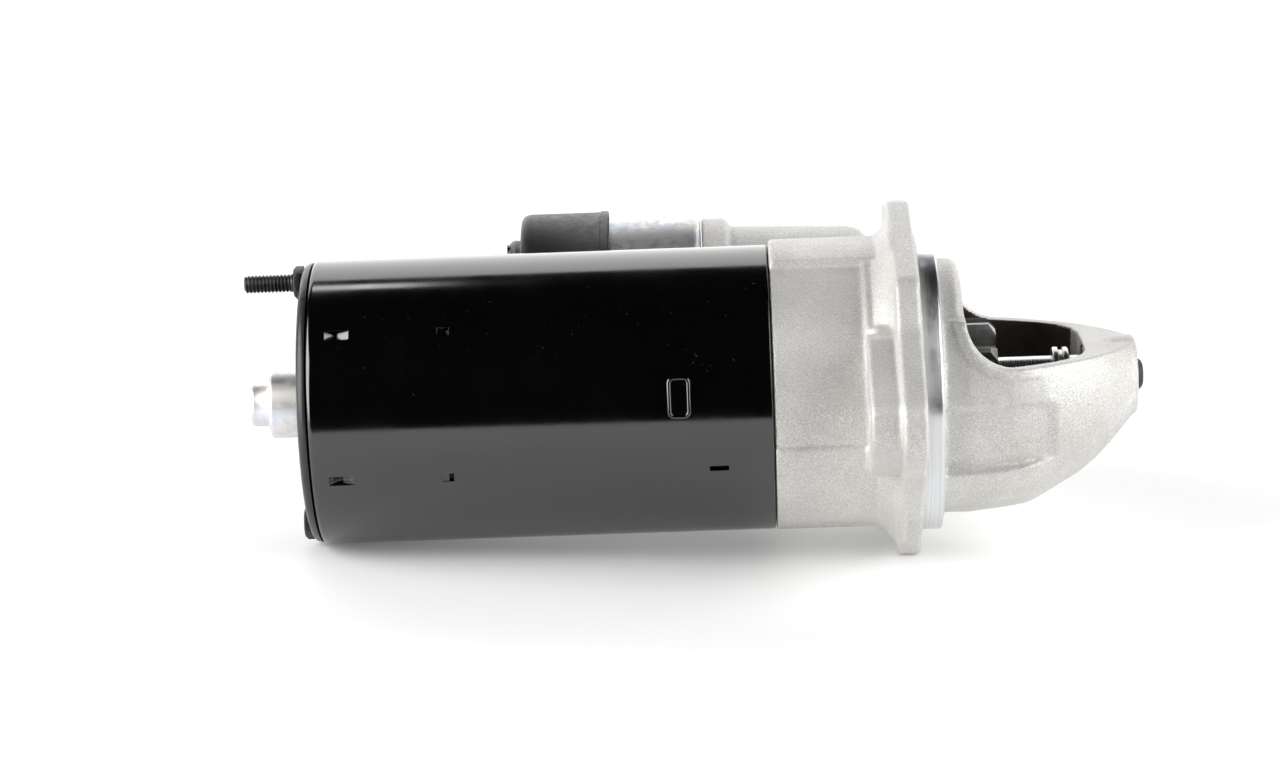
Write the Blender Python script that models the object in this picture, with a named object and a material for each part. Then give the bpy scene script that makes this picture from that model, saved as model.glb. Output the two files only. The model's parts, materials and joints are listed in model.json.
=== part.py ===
"""Starter motor with a planetary reduction, a pinion drive and a solenoid.

+X runs along the shaft to the nose, +Y points away from the bench front, +Z up. The origin is on the
shaft axis in the mounting face of the flange. Every dimension below is in millimetres; MM turns it
into Blender's metres.
"""
import math

import bmesh
import bpy
from mathutils import Matrix, Vector

MM = 0.001
GAP = 0.3

# Stations along the shaft
YOKE_REAR = -163.6
YOKE_FRONT = -39.6
REGISTER_REAR = -50.9
COVER_REAR = -166.4
FLANGE_REAR = -6.6
SPIGOT_FRONT = 5.7
COLLAR_FRONT = 12.5
NOSE_FRONT = 60.2

# Field frame, cover and through bolts
YOKE_RADIUS = 39.0
YOKE_WALL = 3.2
COVER_RADIUS = 38.4
BOLT_CIRCLE = 33.1
BOLT_ANGLES = (100, 280)
BOLT_RADIUS = 2.4
MAGNETS = 6
MAGNET_SPAN = 44
AIR_GAP_RADIUS = 28.0

# Reduction gear
GEAR_MODULE = 1.25
SUN_TEETH = 11
PLANET_TEETH = 16
RING_TEETH = 43
PLANET_CIRCLE = GEAR_MODULE * (SUN_TEETH + PLANET_TEETH) / 2
PLANET_ANGLES = (90, 210, 330)
GEAR_REAR = -63.5
GEAR_FRONT = -52.0
PRESSURE_ANGLE = math.radians(20)

# Drive
SHAFT_RADIUS = 5.85
SPLINE_RADIUS = 8.0
PINION_TEETH = 10
PINION_MODULE = 2.83
PINION_FRONT = 22.0
CLUTCH_RADIUS = 24.0
GROOVE_X = -33.5
GROOVE_WIDTH = 8.0

# Solenoid and lever: the solenoid axis is parallel to the shaft, behind it and a little higher
SOLENOID_OFFSET = 68.0
SOLENOID_TILT = math.radians(9.6)
CAN_RADIUS = 25.0
CAP_RADIUS = 26.5
CAN_REAR = -84.0
CAN_FRONT = -57.8
PAD_FRONT = -49.9
PIVOT_X = -26.0
PIVOT_OFFSET = 40.0
TAIL_ARM = SOLENOID_OFFSET - PIVOT_OFFSET
LEVER_REST = math.radians(-10.8)
TERMINAL_OFFSET = 11.0
SCREW_CIRCLE = 26.2
SCREW_SEAT = -49.6

# Drive housing
BARREL_RADIUS = 39.2
SPIGOT_RADIUS = 40.5
COLLAR_RADIUS = 33.6
WINDOW_HEIGHT = 10.0
EAR_HOLE = (-54.0, 4.0)
REAR_EAR_HOLE = (50.0, -29.0)
EAR_HOLE_RADIUS = 5.25

MATERIALS = {
    "cast_aluminium": ((0.60, 0.59, 0.57), 0.45, 0.9),
    "black_paint": ((0.012, 0.012, 0.013), 0.15, 0.0),
    "black_plastic": ((0.03, 0.03, 0.032), 0.5, 0.0),
    "gear_plastic": ((0.16, 0.15, 0.13), 0.5, 0.0),
    "zinc_plate": ((0.66, 0.67, 0.68), 0.3, 1.0),
    "black_steel": ((0.05, 0.05, 0.05), 0.4, 0.8),
    "bright_steel": ((0.55, 0.55, 0.56), 0.28, 1.0),
    "gear_steel": ((0.30, 0.30, 0.31), 0.38, 1.0),
    "laminations": ((0.35, 0.34, 0.33), 0.5, 0.9),
    "ferrite": ((0.07, 0.07, 0.075), 0.7, 0.0),
    "copper": ((0.72, 0.36, 0.20), 0.35, 1.0),
    "carbon": ((0.05, 0.045, 0.045), 0.7, 0.0),
    "bronze": ((0.62, 0.45, 0.24), 0.45, 1.0),
    "rubber": ((0.02, 0.02, 0.02), 0.8, 0.0),
}


def start_empty():
    for obj in list(bpy.data.objects):
        bpy.data.objects.remove(obj, do_unlink=True)
    for mesh in list(bpy.data.meshes):
        bpy.data.meshes.remove(mesh)


def material(name):
    found = bpy.data.materials.get(name)
    if found:
        return found
    colour, roughness, metallic = MATERIALS[name]
    made = bpy.data.materials.new(name)
    made.use_nodes = True
    shader = made.node_tree.nodes["Principled BSDF"]
    shader.inputs["Base Color"].default_value = (*colour, 1)
    shader.inputs["Roughness"].default_value = roughness
    shader.inputs["Metallic"].default_value = metallic
    made.diffuse_color = (*colour, 1)
    return made


def finish_mesh(name, bm, finish):
    """Turn bm into a named object. A cutter or a guide passes finish None."""
    bmesh.ops.remove_doubles(bm, verts=bm.verts, dist=1e-6)
    bmesh.ops.recalc_face_normals(bm, faces=bm.faces)
    mesh = bpy.data.meshes.new(name)
    bm.to_mesh(mesh)
    bm.free()
    mesh.shade_smooth()
    mesh.set_sharp_from_angle(angle=math.radians(32))
    obj = bpy.data.objects.new(name, mesh)
    bpy.context.collection.objects.link(obj)
    if finish:
        mesh.materials.append(material(finish))
    else:
        obj.hide_render = True
        obj.display_type = "WIRE"
    return obj


def turned(name, outline, finish, steps=32, centre=(0.0, 0.0)):
    """Turn a closed outline of (x, radius) points about an axis parallel to X through centre."""
    bm = bmesh.new()
    verts = [bm.verts.new((x * MM, 0, r * MM)) for x, r in outline]
    edges = []
    for i, vert in enumerate(verts):
        other = (i + 1) % len(verts)
        if outline[i][1] > 0 or outline[other][1] > 0:
            edges.append(bm.edges.new((vert, verts[other])))
    bmesh.ops.spin(bm, geom=verts + edges, cent=(0, 0, 0), axis=(1, 0, 0),
                   angle=2 * math.pi, steps=steps, use_merge=True)
    bmesh.ops.translate(bm, verts=bm.verts, vec=(0, centre[0] * MM, centre[1] * MM))
    return finish_mesh(name, bm, finish)


def prism(name, outline, x0, x1, finish):
    """Extrude a closed outline of (y, z) points along X."""
    bm = bmesh.new()
    face = bm.faces.new([bm.verts.new((x0 * MM, y * MM, z * MM)) for y, z in outline])
    made = bmesh.ops.extrude_face_region(bm, geom=[face])
    moved = [item for item in made["geom"] if isinstance(item, bmesh.types.BMVert)]
    bmesh.ops.translate(bm, verts=moved, vec=((x1 - x0) * MM, 0, 0))
    return finish_mesh(name, bm, finish)


def side_prism(name, outline, y0, y1, finish):
    """Extrude a closed outline of (x, z) points along Y."""
    obj = prism(name, [(-x, z) for x, z in outline], y0, y1, finish)
    obj.data.transform(Matrix.Rotation(math.radians(90), 4, "Z"))
    return obj


def block(name, low, high, finish):
    outline = [(low[1], low[2]), (high[1], low[2]), (high[1], high[2]), (low[1], high[2])]
    return prism(name, outline, low[0], high[0], finish)


def boolean(target, operand, operation):
    change = target.modifiers.new(operation.lower(), "BOOLEAN")
    change.operation = operation
    change.solver = "EXACT"
    change.object = operand
    operand.hide_render = True
    operand.display_type = "WIRE"


def cut(target, *cutters):
    for cutter in cutters:
        boolean(target, cutter, "DIFFERENCE")


def join(target, *others):
    for other in others:
        boolean(target, other, "UNION")


def bolt_place(angle, radius=BOLT_CIRCLE):
    """(y, z) at an angle measured from -Y over the top."""
    turn = math.radians(angle)
    return -radius * math.cos(turn), radius * math.sin(turn)


def ring_points(count, radius, turn=0.0, centre=(0.0, 0.0)):
    step = 2 * math.pi / count
    return [(centre[0] + radius * math.cos(turn + i * step), centre[1] + radius * math.sin(turn + i * step))
            for i in range(count)]


def rounded_outline(corners, arc_points=4):
    """Round each (y, z, radius) corner of a polygon with an arc that meets both sides."""
    points = []
    for i, (y, z, radius) in enumerate(corners):
        corner = Vector((y, z))
        before = (Vector(corners[i - 1][:2]) - corner).normalized()
        after = (Vector(corners[(i + 1) % len(corners)][:2]) - corner).normalized()
        half = before.angle(after) / 2
        reach = radius / math.tan(half)
        centre = corner + (before + after).normalized() * (radius / math.sin(half))
        first = corner + before * reach - centre
        last = corner + after * reach - centre
        sweep = first.angle_signed(last)
        for k in range(arc_points):
            turn = -sweep * k / (arc_points - 1)
            spoke = Matrix.Rotation(turn, 2) @ first
            points.append(tuple(centre + spoke))
    return points


def involute(angle):
    return math.tan(angle) - angle


def gear_outline(teeth, module, phase, addendum, dedendum, fullness):
    """Points of a gear with involute flanks; phase is the angle of a tooth's centre line."""
    pitch = module * teeth / 2
    base = pitch * math.cos(PRESSURE_ANGLE)
    radii = [pitch - dedendum * module, pitch, pitch + addendum * module]

    def half_angle(radius):
        pressure = math.acos(min(1.0, base / radius))
        return fullness * math.pi / (2 * teeth) + involute(PRESSURE_ANGLE) - involute(pressure)

    points = []
    for i in range(teeth):
        middle = phase + 2 * math.pi * i / teeth
        flank = [(r, half_angle(r)) for r in radii]
        for radius, half in flank:
            points.append((radius * math.cos(middle - half), radius * math.sin(middle - half)))
        for radius, half in reversed(flank):
            points.append((radius * math.cos(middle + half), radius * math.sin(middle + half)))
    return points


def slotted_outline(count, radius, depth, width):
    """A round outline with narrow slots: width is each slot's share of the pitch."""
    points = []
    step = 2 * math.pi / count
    for i in range(count):
        for share, r in ((0.0, radius), (1 - width, radius), (1 - width, radius - depth),
                         (1.0, radius - depth)):
            turn = (i + share) * step
            points.append((r * math.cos(turn), r * math.sin(turn)))
    return points


def frame_on_solenoid():
    """Empty on the solenoid axis: local +Y points away from the shaft, local +Z is square to it."""
    axis = bpy.data.objects.new("solenoid_axis", None)
    bpy.context.collection.objects.link(axis)
    axis.rotation_euler = (SOLENOID_TILT, 0, 0)
    away = Vector((0, math.cos(SOLENOID_TILT), math.sin(SOLENOID_TILT)))
    axis.location = away * SOLENOID_OFFSET * MM
    return axis


def hang(parent, *children):
    for child in children:
        child.parent = parent


# ---------------------------------------------------------------- drive housing

def nose_outline():
    """(x, radius) of the nose from its root to the tip."""
    return [(0, 0), (0, 37.4), (6.7, 37.2), (19.3, 36.2), (24.7, 35.7), (28.9, 34.6), (33.5, 32.0),
            (37.4, 29.9), (43.5, 26.6), (48.4, 23.0), (52.7, 18.4), (56.5, 14.4), (59.7, 10.8), (59.7, 0)]


def flange_corners():
    """(y, z, corner radius) round the flange: the front ear, over the top, the rear ear, the bottom."""
    return [(-68.5, 7.5, 7), (-45, 24.5, 8), (-37, 36.5, 5), (12, 48.3, 8), (32, 45, 12), (47, 20, 12),
            (49, -8, 10), (66, -24, 9), (58, -43, 9), (38, -38, 8), (12, -46.3, 8), (-11, -46.3, 5),
            (-23, -36.5, 6), (-33.5, -28, 6), (-55, -11.5, 6), (-68.5, -5, 6)]


def window_cutter():
    """Takes the top off the nose: a level cut with a rounded rear end against the collar."""
    round_in = 13.0
    start = COLLAR_FRONT
    outline = [(start, 60.0)]
    for k in range(7):
        turn = math.radians(180 + 90 * k / 6)
        outline.append((start + round_in * (1 + math.cos(turn)),
                        WINDOW_HEIGHT + round_in * (1 + math.sin(turn))))
    outline += [(70.0, WINDOW_HEIGHT), (70.0, 60.0)]
    return side_prism("cut_window", outline, -60, 60, None)


def lever_room():
    """Cutters for the lever's slot and the plunger's chamber, in the solenoid's frame."""
    low = -SOLENOID_OFFSET
    fork_slot = block("cut_fork_slot", (-39.5, low, -17.5), (-11.5, low + 31.4, 17.5), None)
    tail_slot = block("cut_tail_slot", (-37.0, low + 29, -10.5), (-14.6, 0, 10.5), None)
    chamber = turned("cut_chamber", [(-60, 0), (-60, 16), (-15.5, 16), (-13.8, 14), (-13.8, 0)], None, 23)
    pivot_hole = turned("cut_pivot", [(-19, 0), (-19, 3.3), (19, 3.3), (19, 0)], None, 15)
    pivot_hole.data.transform(Matrix.Rotation(math.radians(-90), 4, "Y"))
    pivot_hole.location = (PIVOT_X * MM, (PIVOT_OFFSET - SOLENOID_OFFSET) * MM, 0)
    return [fork_slot, tail_slot, chamber, pivot_hole]


def solenoid_seat():
    """The pad, the lever chamber's round back and the web that ties them to the barrel."""
    low = -SOLENOID_OFFSET
    bridge = turned("add_bridge", [(-55, 0), (-55, 20.9), (-14, 19.6), (-10.5, 17.8), (-9.3, 14.5),
                                   (-9.3, 0)],
                    None, 24)
    web = block("add_web", (YOKE_FRONT + GAP, low + 20, -14.6), (-10.2, 0, 14.6), None)
    rear_web = block("add_rear_web", (-52, low + 42, -14.2), (-30, -1, 14.2), None)
    pad = turned("add_pad", [(-57.4, 0), (-57.4, 23.3), (-50.8, 23.3), (PAD_FRONT, 22.4), (PAD_FRONT, 0)],
                 None, 29)
    lobes = [turned(f"add_lobe_{i}", [(-57.0, 0), (-57.0, 6.2), (SCREW_SEAT, 6.2), (SCREW_SEAT, 0)], None, 17,
                    screw_place(i)) for i in range(3)]
    return [bridge, web, rear_web, pad] + lobes


def screw_place(index):
    """(y, z) of a solenoid screw in the solenoid's frame."""
    turn = math.radians((-62, 18, 236)[index])
    return SCREW_CIRCLE * math.cos(turn), SCREW_CIRCLE * math.sin(turn)


def drive_housing(solenoid_axis):
    body = turned("drive_housing", nose_outline(), "cast_aluminium", 36)
    cut(body, block("cut_shoulder", (-1, -60, 22), (70, 60, 60), None))
    barrel = turned("add_barrel", [
        (REGISTER_REAR, 0), (REGISTER_REAR, 35.4), (-39.3, 35.4), (-39.3, BARREL_RADIUS),
        (-1.0, BARREL_RADIUS),
        (-0.6, SPIGOT_RADIUS), (5.2, SPIGOT_RADIUS), (SPIGOT_FRONT, SPIGOT_RADIUS - 0.5),
        (SPIGOT_FRONT, COLLAR_RADIUS), (10.8, COLLAR_RADIUS - 0.2), (12.1, COLLAR_RADIUS - 1.4),
        (COLLAR_FRONT, COLLAR_RADIUS - 3), (COLLAR_FRONT, 0)], None, 44)
    join(body, barrel)
    cut(body, window_cutter())
    tip = turned("add_tip", [(47, 0), (47, 8.5), (51, 10.4), (56, 11), (59.2, 11), (NOSE_FRONT, 10.2),
                             (NOSE_FRONT, 0)], None, 20)
    flange = prism("add_flange", rounded_outline(flange_corners()), FLANGE_REAR, 0, None)
    ear = prism("add_ear", rounded_outline([(-66, 8, 5), (-44, 22, 5), (-30, 24, 5), (-30, -18, 5),
                                            (-43, -15, 5), (-66, -2, 5)], 4), -14.8, FLANGE_REAR + 1, None)
    fillet = turned("add_fillet", [(-12.0, 36), (-11.6, 39.6), (-8, 42.4), (-5, 43.5), (-5, 36)], None, 36)
    join(body, tip, flange, ear, fillet)
    seat = solenoid_seat()
    hang(solenoid_axis, *seat)
    join(body, *seat)
    bore = turned("cut_bore", [
        (-60, 0), (-60, 28.5), (-40.4, 28.5), (-40.4, 25.3), (COLLAR_FRONT + 0.5, 25.3),
        (COLLAR_FRONT + 0.5, 32.6),
        (24, 32.0), (30, 29.8), (38, 25.6), (43, 21.6), (45, 17.0), (45.4, 8.3), (56.6, 8.3), (56.6, 4.8),
        (70, 4.8), (70, 0)], None, 32)
    cut(body, bore)
    for number, (y, z) in enumerate((EAR_HOLE, REAR_EAR_HOLE), 1):
        cut(body, turned(f"cut_ear_{number}", [(-30, 0), (-30, EAR_HOLE_RADIUS), (20, EAR_HOLE_RADIUS),
                                               (20, 0)],
                         None, 24, (y, z)))
    for angle in BOLT_ANGLES:
        cut(body, turned(f"cut_bolt_{angle}", [(-60, 0), (-60, 2.8), (-14, 2.8), (-12.6, 0)], None, 14,
                         bolt_place(angle)))
    room = lever_room()
    holes = [turned(f"cut_screw_{i}", [(-60, 0), (-60, 2.9), (-40, 2.9), (-40, 0)], None, 14,
                    screw_place(i))
             for i in range(3)]
    hang(solenoid_axis, *room, *holes)
    cut(body, *room, *holes)


def nose_pieces():
    turned("nose_bush", [(45.8, 6.1), (45.8, 8.0), (56.2, 8.0), (56.2, 6.1)], "bronze", 16)
    turned("nose_plug", [(57.2, 0), (57.2, 4.4), (61.0, 4.4), (61.9, 3.6), (62.3, 2.2), (62.3, 0)],
           "rubber", 24)
    turned("shaft_support", [(-45.0, 8.35), (-45.0, 27.6), (-44.4, 28.2), (-40.8, 28.2), (-40.8, 12),
                             (-39.9, 11),
                             (-39.9, 8.35)], "gear_steel", 24)


# ---------------------------------------------------------------- field frame and rear end

def field_frame():
    inner = YOKE_RADIUS - YOKE_WALL
    body = turned("field_frame", [
        (YOKE_REAR, inner), (YOKE_REAR, YOKE_RADIUS - 0.4), (YOKE_REAR + 0.4, YOKE_RADIUS),
        (YOKE_FRONT - 0.4, YOKE_RADIUS), (YOKE_FRONT, YOKE_RADIUS - 0.4), (YOKE_FRONT, inner)],
        "black_paint", 48)
    slots = [(-54.4, -20, 5.1, 1.5), (-118.0, 100, 5.1, 1.5), (-71.2, 100, 5.1, 1.5),
             (-149.6, 185, 11.0, 11.0)]
    for number, (x, angle, length, width) in enumerate(slots, 1):
        cutter = block(f"cut_slot_{number}", (-length / 2, -width / 2, 25), (length / 2, width / 2, 50),
                       None)
        cutter.location = (x * MM, 0, 0)
        cutter.rotation_euler = (math.radians(90 - angle), 0, 0)
        cut(body, cutter)


def magnets():
    half = math.radians(MAGNET_SPAN / 2)
    steps = 6
    outer = 35.5
    for number in range(MAGNETS):
        middle = math.radians(180 - (10 + 60 * number))
        turns = [middle - half + 2 * half * k / steps for k in range(steps + 1)]
        outline = [(outer * math.cos(t), outer * math.sin(t)) for t in turns]
        outline += [(AIR_GAP_RADIUS * math.cos(t), AIR_GAP_RADIUS * math.sin(t)) for t in reversed(turns)]
        prism(f"magnet_{number + 1}", outline, -130, -74, "ferrite")


def rear_end():
    cover = turned("end_cover", [
        (YOKE_REAR - GAP, 9.9), (COVER_REAR, 9.9), (COVER_REAR, 36.6), (-165.9, 37.8),
        (-165.0, COVER_RADIUS),
        (YOKE_REAR - GAP, COVER_RADIUS), (YOKE_REAR - GAP, 35.4), (-160.4, 35.4), (-160.4, 33.2),
        (YOKE_REAR - GAP, 33.2)], "black_paint", 36)
    for angle in BOLT_ANGLES:
        cut(cover, turned(f"cut_cover_{angle}", [(-170, 0), (-170, 2.8), (-150, 2.8), (-150, 0)], None, 14,
                          bolt_place(angle)))
    turned("bearing_cap", [
        (-162.8, 8.2), (-162.8, 9.5), (-176.3, 9.5), (-177.3, 8.6), (-177.3, 6.1), (-181.8, 6.1),
        (-182.6, 5.2),
        (-182.6, 0), (-181.4, 0), (-181.4, 4.9), (-176.1, 4.9), (-176.1, 8.2)], "zinc_plate", 20)
    turned("rear_bush", [(-175.6, 4.35), (-175.6, 7.9), (-165.6, 7.9), (-165.6, 4.35)], "bronze", 16)
    through_bolt("through_bolt_stud", BOLT_ANGLES[0], [
        (-183.2, 0), (-183.2, 2.0), (-182.6, 2.5), (-171.0, 2.5), (-169.2, 2.2), (-168.9, 2.2)], -169.6)
    through_bolt("through_bolt", BOLT_ANGLES[1], [(-167.8, 0)], -169.2)


def through_bolt(name, angle, rear_end_outline, head_rear):
    """A long bolt with a hexagon head against the end cover, placed on the bolt circle."""
    outline = rear_end_outline + [(-167.8, BOLT_RADIUS), (-14.6, BOLT_RADIUS), (-14.0, 1.8), (-14.0, 0)]
    bolt = turned(name, outline, "black_steel", 14)
    head = prism(f"add_head_{angle}", ring_points(6, 4.62, 0.3), head_rear, COVER_REAR - GAP, None)
    hang(bolt, head)
    join(bolt, head)
    bolt.location = Vector((0, *bolt_place(angle))) * MM


def brush_gear():
    plate = turned("brush_plate", [(-160.0, 13), (-160.0, 34.6), (-158.2, 34.6), (-158.2, 13)],
                   "black_plastic", 28)
    for angle in BOLT_ANGLES:
        cut(plate, turned(f"cut_plate_{angle}", [(-170, 0), (-170, 3.1), (-150, 3.1), (-150, 0)], None, 12,
                          bolt_place(angle)))
    for number in range(4):
        turn = math.radians(45 + 90 * number)
        brush = block(f"brush_{number + 1}", (-154.5, -3.6, 16.4), (-145.5, 3.6, 25.0), "carbon")
        brush.rotation_euler = (turn, 0, 0)
        spring = turned(f"brush_spring_{number + 1}", [(25.4, 0), (25.4, 2.6), (31.6, 2.6), (31.6, 0)],
                        "bright_steel", 12)
        spring.data.transform(Matrix.Rotation(math.radians(-90), 4, "Y"))
        spring.data.transform(Matrix.Translation((-150 * MM, 0, 0)))
        spring.rotation_euler = (turn, 0, 0)


# ---------------------------------------------------------------- armature and reduction gear

def armature():
    shaft = turned("armature_shaft", [
        (-179.4, 0), (-179.4, 4.2), (-164.6, 4.2), (-164.0, 8.0), (-65.2, 8.0), (-64.6, 5.0), (-51.6, 5.0),
        (-51.0, 3.0), (-42.4, 3.0), (-42.0, 2.6), (-42.0, 0)], "bright_steel", 16)
    sun = gear_outline(SUN_TEETH, GEAR_MODULE, sun_phase(), 0.85, 1.2, 0.86)
    join(shaft, prism("add_sun", sun, -64.9, GEAR_FRONT, None))
    core = prism("armature_core", slotted_outline(20, 27.2, 3.0, 0.26), -128, -76.5, "laminations")
    cut(core, turned("cut_core", [(-140, 0), (-140, 8.3), (-60, 8.3), (-60, 0)], None, 24))
    for name, x0, x1 in (("winding_front", -76.2, -68.5), ("winding_rear", -138.5, -128.3)):
        turned(name, [(x0, 11), (x0, 23.5), (x0 + 2, 26), (x1 - 2, 26), (x1, 23.5), (x1, 11)], "copper", 20)
    commutator = prism("commutator", slotted_outline(24, 16.0, 0.9, 0.16), -157, -139, "copper")
    cut(commutator, turned("cut_commutator", [(-170, 0), (-170, 8.3), (-130, 8.3), (-130, 0)], None, 24))


def sun_phase():
    """Tooth angle that puts the sun in mesh with all planets, whose other side meets the ring."""
    return math.radians(((SUN_TEETH + RING_TEETH) * PLANET_ANGLES[0] - 180) / SUN_TEETH)


def planet_phase(angle):
    place = math.radians(angle)
    sun_share = (place - sun_phase()) * SUN_TEETH / (2 * math.pi)
    return place - (0.5 - sun_share) * 2 * math.pi / PLANET_TEETH


def ring_gear():
    body = turned("ring_gear", [(GEAR_REAR - 2.2, 10.5), (GEAR_REAR - 2.2, 34.8), (-51.2, 34.8),
                                (-51.2, 10.5)],
                  "gear_plastic", 32)
    teeth = gear_outline(RING_TEETH, GEAR_MODULE, 0.0, 1.2, 0.85, 1.14)
    cut(body, prism("cut_ring_teeth", teeth, GEAR_REAR - 0.5, -40, None))
    for angle in BOLT_ANGLES:
        cut(body, turned(f"cut_ring_{angle}", [(-80, 0), (-80, 3.1), (-40, 3.1), (-40, 0)], None, 12,
                         bolt_place(angle)))


def planets(shaft_axis):
    for number, angle in enumerate(PLANET_ANGLES, 1):
        place = math.radians(angle)
        y = PLANET_CIRCLE * math.cos(place)
        z = PLANET_CIRCLE * math.sin(place)
        teeth = gear_outline(PLANET_TEETH, GEAR_MODULE, planet_phase(angle), 0.85, 1.2, 0.86)
        gear = prism(f"planet_gear_{number}", teeth, GEAR_REAR, GEAR_FRONT, "gear_steel")
        bore = turned(f"cut_planet_{number}", [(-70, 0), (-70, 3.6), (-40, 3.6), (-40, 0)], None, 16)
        hang(gear, bore)
        cut(gear, bore)
        pin = turned(f"planet_pin_{number}", [(-63.6, 0), (-63.6, 3.0), (-63.2, 3.3), (-47.4, 3.3),
                                              (-47.4, 0)],
                     "bright_steel", 16)
        hang(shaft_axis, gear, pin)
        gear.location = (0, y * MM, z * MM)
        pin.location = (0, y * MM, z * MM)


def drive_shaft(shaft_axis):
    body = turned("drive_shaft", [
        (-51.0, 3.3), (-51.0, 23.5), (-50.5, 24.0), (-47.0, 24.0), (-47.0, 11.0), (-46.0, SPLINE_RADIUS),
        (-17.5, SPLINE_RADIUS), (-16.8, SHAFT_RADIUS), (53.4, SHAFT_RADIUS), (54.4, 4.9), (54.4, 0),
        (-41.0, 0),
        (-41.4, 3.3)], "bright_steel", 20)
    for number, angle in enumerate(PLANET_ANGLES, 1):
        place = math.radians(angle)
        hole = turned(f"cut_pin_{number}", [(-60, 0), (-60, 3.6), (-45, 3.6), (-45, 0)], None, 16,
                      (PLANET_CIRCLE * math.cos(place), PLANET_CIRCLE * math.sin(place)))
        cut(body, hole)
    stop = turned("stop_ring", [
        (37.5, 6.1), (37.5, 7.9), (37.8, 8.2), (39.2, 8.2), (39.5, 7.6), (40.1, 7.6), (40.4, 8.2),
        (41.8, 8.2),
        (42.1, 7.9), (42.1, 6.1)], "bright_steel", 16)
    hang(shaft_axis, body, stop)


# ---------------------------------------------------------------- drive and lever

def drive(shaft_axis):
    rear = GROOVE_X - GROOVE_WIDTH / 2
    front = GROOVE_X + GROOVE_WIDTH / 2
    sleeve = turned("drive_sleeve", [
        (rear - 2, 8.35), (rear - 2, 15.5), (rear, 15.5), (rear, 12.0), (front, 12.0), (front, 15.5),
        (-28.0, 15.5), (-27.5, 23.4), (-26.9, CLUTCH_RADIUS), (-6.6, CLUTCH_RADIUS), (-6.0, 23.4),
        (-6.0, 19.5),
        (-19.6, 19.5), (-19.6, 8.35)], "gear_steel", 24)
    outline = gear_outline(PINION_TEETH, PINION_MODULE, math.radians(32), 1.0, 1.15, 0.9)
    pinion = prism("pinion", outline, 3.0, PINION_FRONT, "gear_steel")
    cut(pinion, turned("cut_chamfer", [(PINION_FRONT - 2.2, 17.6), (PINION_FRONT + 0.4, 14.2),
                                       (PINION_FRONT + 0.4, 25), (PINION_FRONT - 2.2, 25)], None, 40))
    race = turned("add_race", [(-15.0, 0), (-15.0, 12.6), (-3.0, 12.6), (-2.6, 11.2), (3.6, 11.2),
                               (3.6, 0)], None, 28)
    join(pinion, race)
    cut(pinion, turned("cut_pinion", [(-40, 0), (-40, 6.15), (40, 6.15), (40, 0)], None, 24))
    hang(shaft_axis, sleeve, pinion)


def lever_prong(name, height, inner, outer, pad, root):
    """One straight prong of the lever, in its own frame: X across, Y along the lever, Z along the pivot."""
    arm = block(name, (-1.5, min(height, root), inner), (1.5, max(height, root), outer), None)
    tip = turned(name + "_pad", [(inner, 0), (inner, pad), (outer, pad), (outer, 0)], None, 16)
    tip.data.transform(Matrix.Rotation(math.radians(-90), 4, "Y"))
    tip.data.transform(Matrix.Translation((0, height * MM, 0)))
    return [arm, tip]


def shift_lever(solenoid_axis):
    hub = turned("shift_lever", [(-8.6, 0), (-8.6, 6.2), (8.6, 6.2), (8.6, 0)], "gear_plastic", 20)
    hub.data.transform(Matrix.Rotation(math.radians(-90), 4, "Y"))
    crossbar = block("add_crossbar", (-3, -15, -16.6), (3, -10.5, 16.6), None)
    neck = block("add_neck", (-2.8, -12, -8.0), (2.8, 10, 8.0), None)
    pieces = [crossbar, neck]
    for side in (-1, 1):
        low, high = sorted((12.7 * side, 16.6 * side))
        pieces += lever_prong(f"add_fork_{side}", -PIVOT_OFFSET, low, high, 3.7, -13)
        low, high = sorted((3.6 * side, 7.2 * side))
        pieces += lever_prong(f"add_tail_{side}", TAIL_ARM, low, high, 3.1, 8)
    join(hub, *pieces)
    hole = turned("cut_hub", [(-20, 0), (-20, 3.3), (20, 3.3), (20, 0)], None, 16)
    hole.data.transform(Matrix.Rotation(math.radians(-90), 4, "Y"))
    cut(hub, hole)
    pin = turned("lever_pivot", [(-14.2, 0), (-14.2, 3.0), (14.2, 3.0), (14.2, 0)], "bright_steel", 16)
    pin.data.transform(Matrix.Rotation(math.radians(-90), 4, "Y"))
    joint = bpy.data.objects.new("lever_joint", None)
    bpy.context.collection.objects.link(joint)
    joint.location = (PIVOT_X * MM, (PIVOT_OFFSET - SOLENOID_OFFSET) * MM, 0)
    joint.rotation_euler = (0, 0, LEVER_REST)
    hang(solenoid_axis, joint, pin)
    pin.location = joint.location
    hang(joint, hub, hole, *pieces)


# ---------------------------------------------------------------- solenoid

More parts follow.
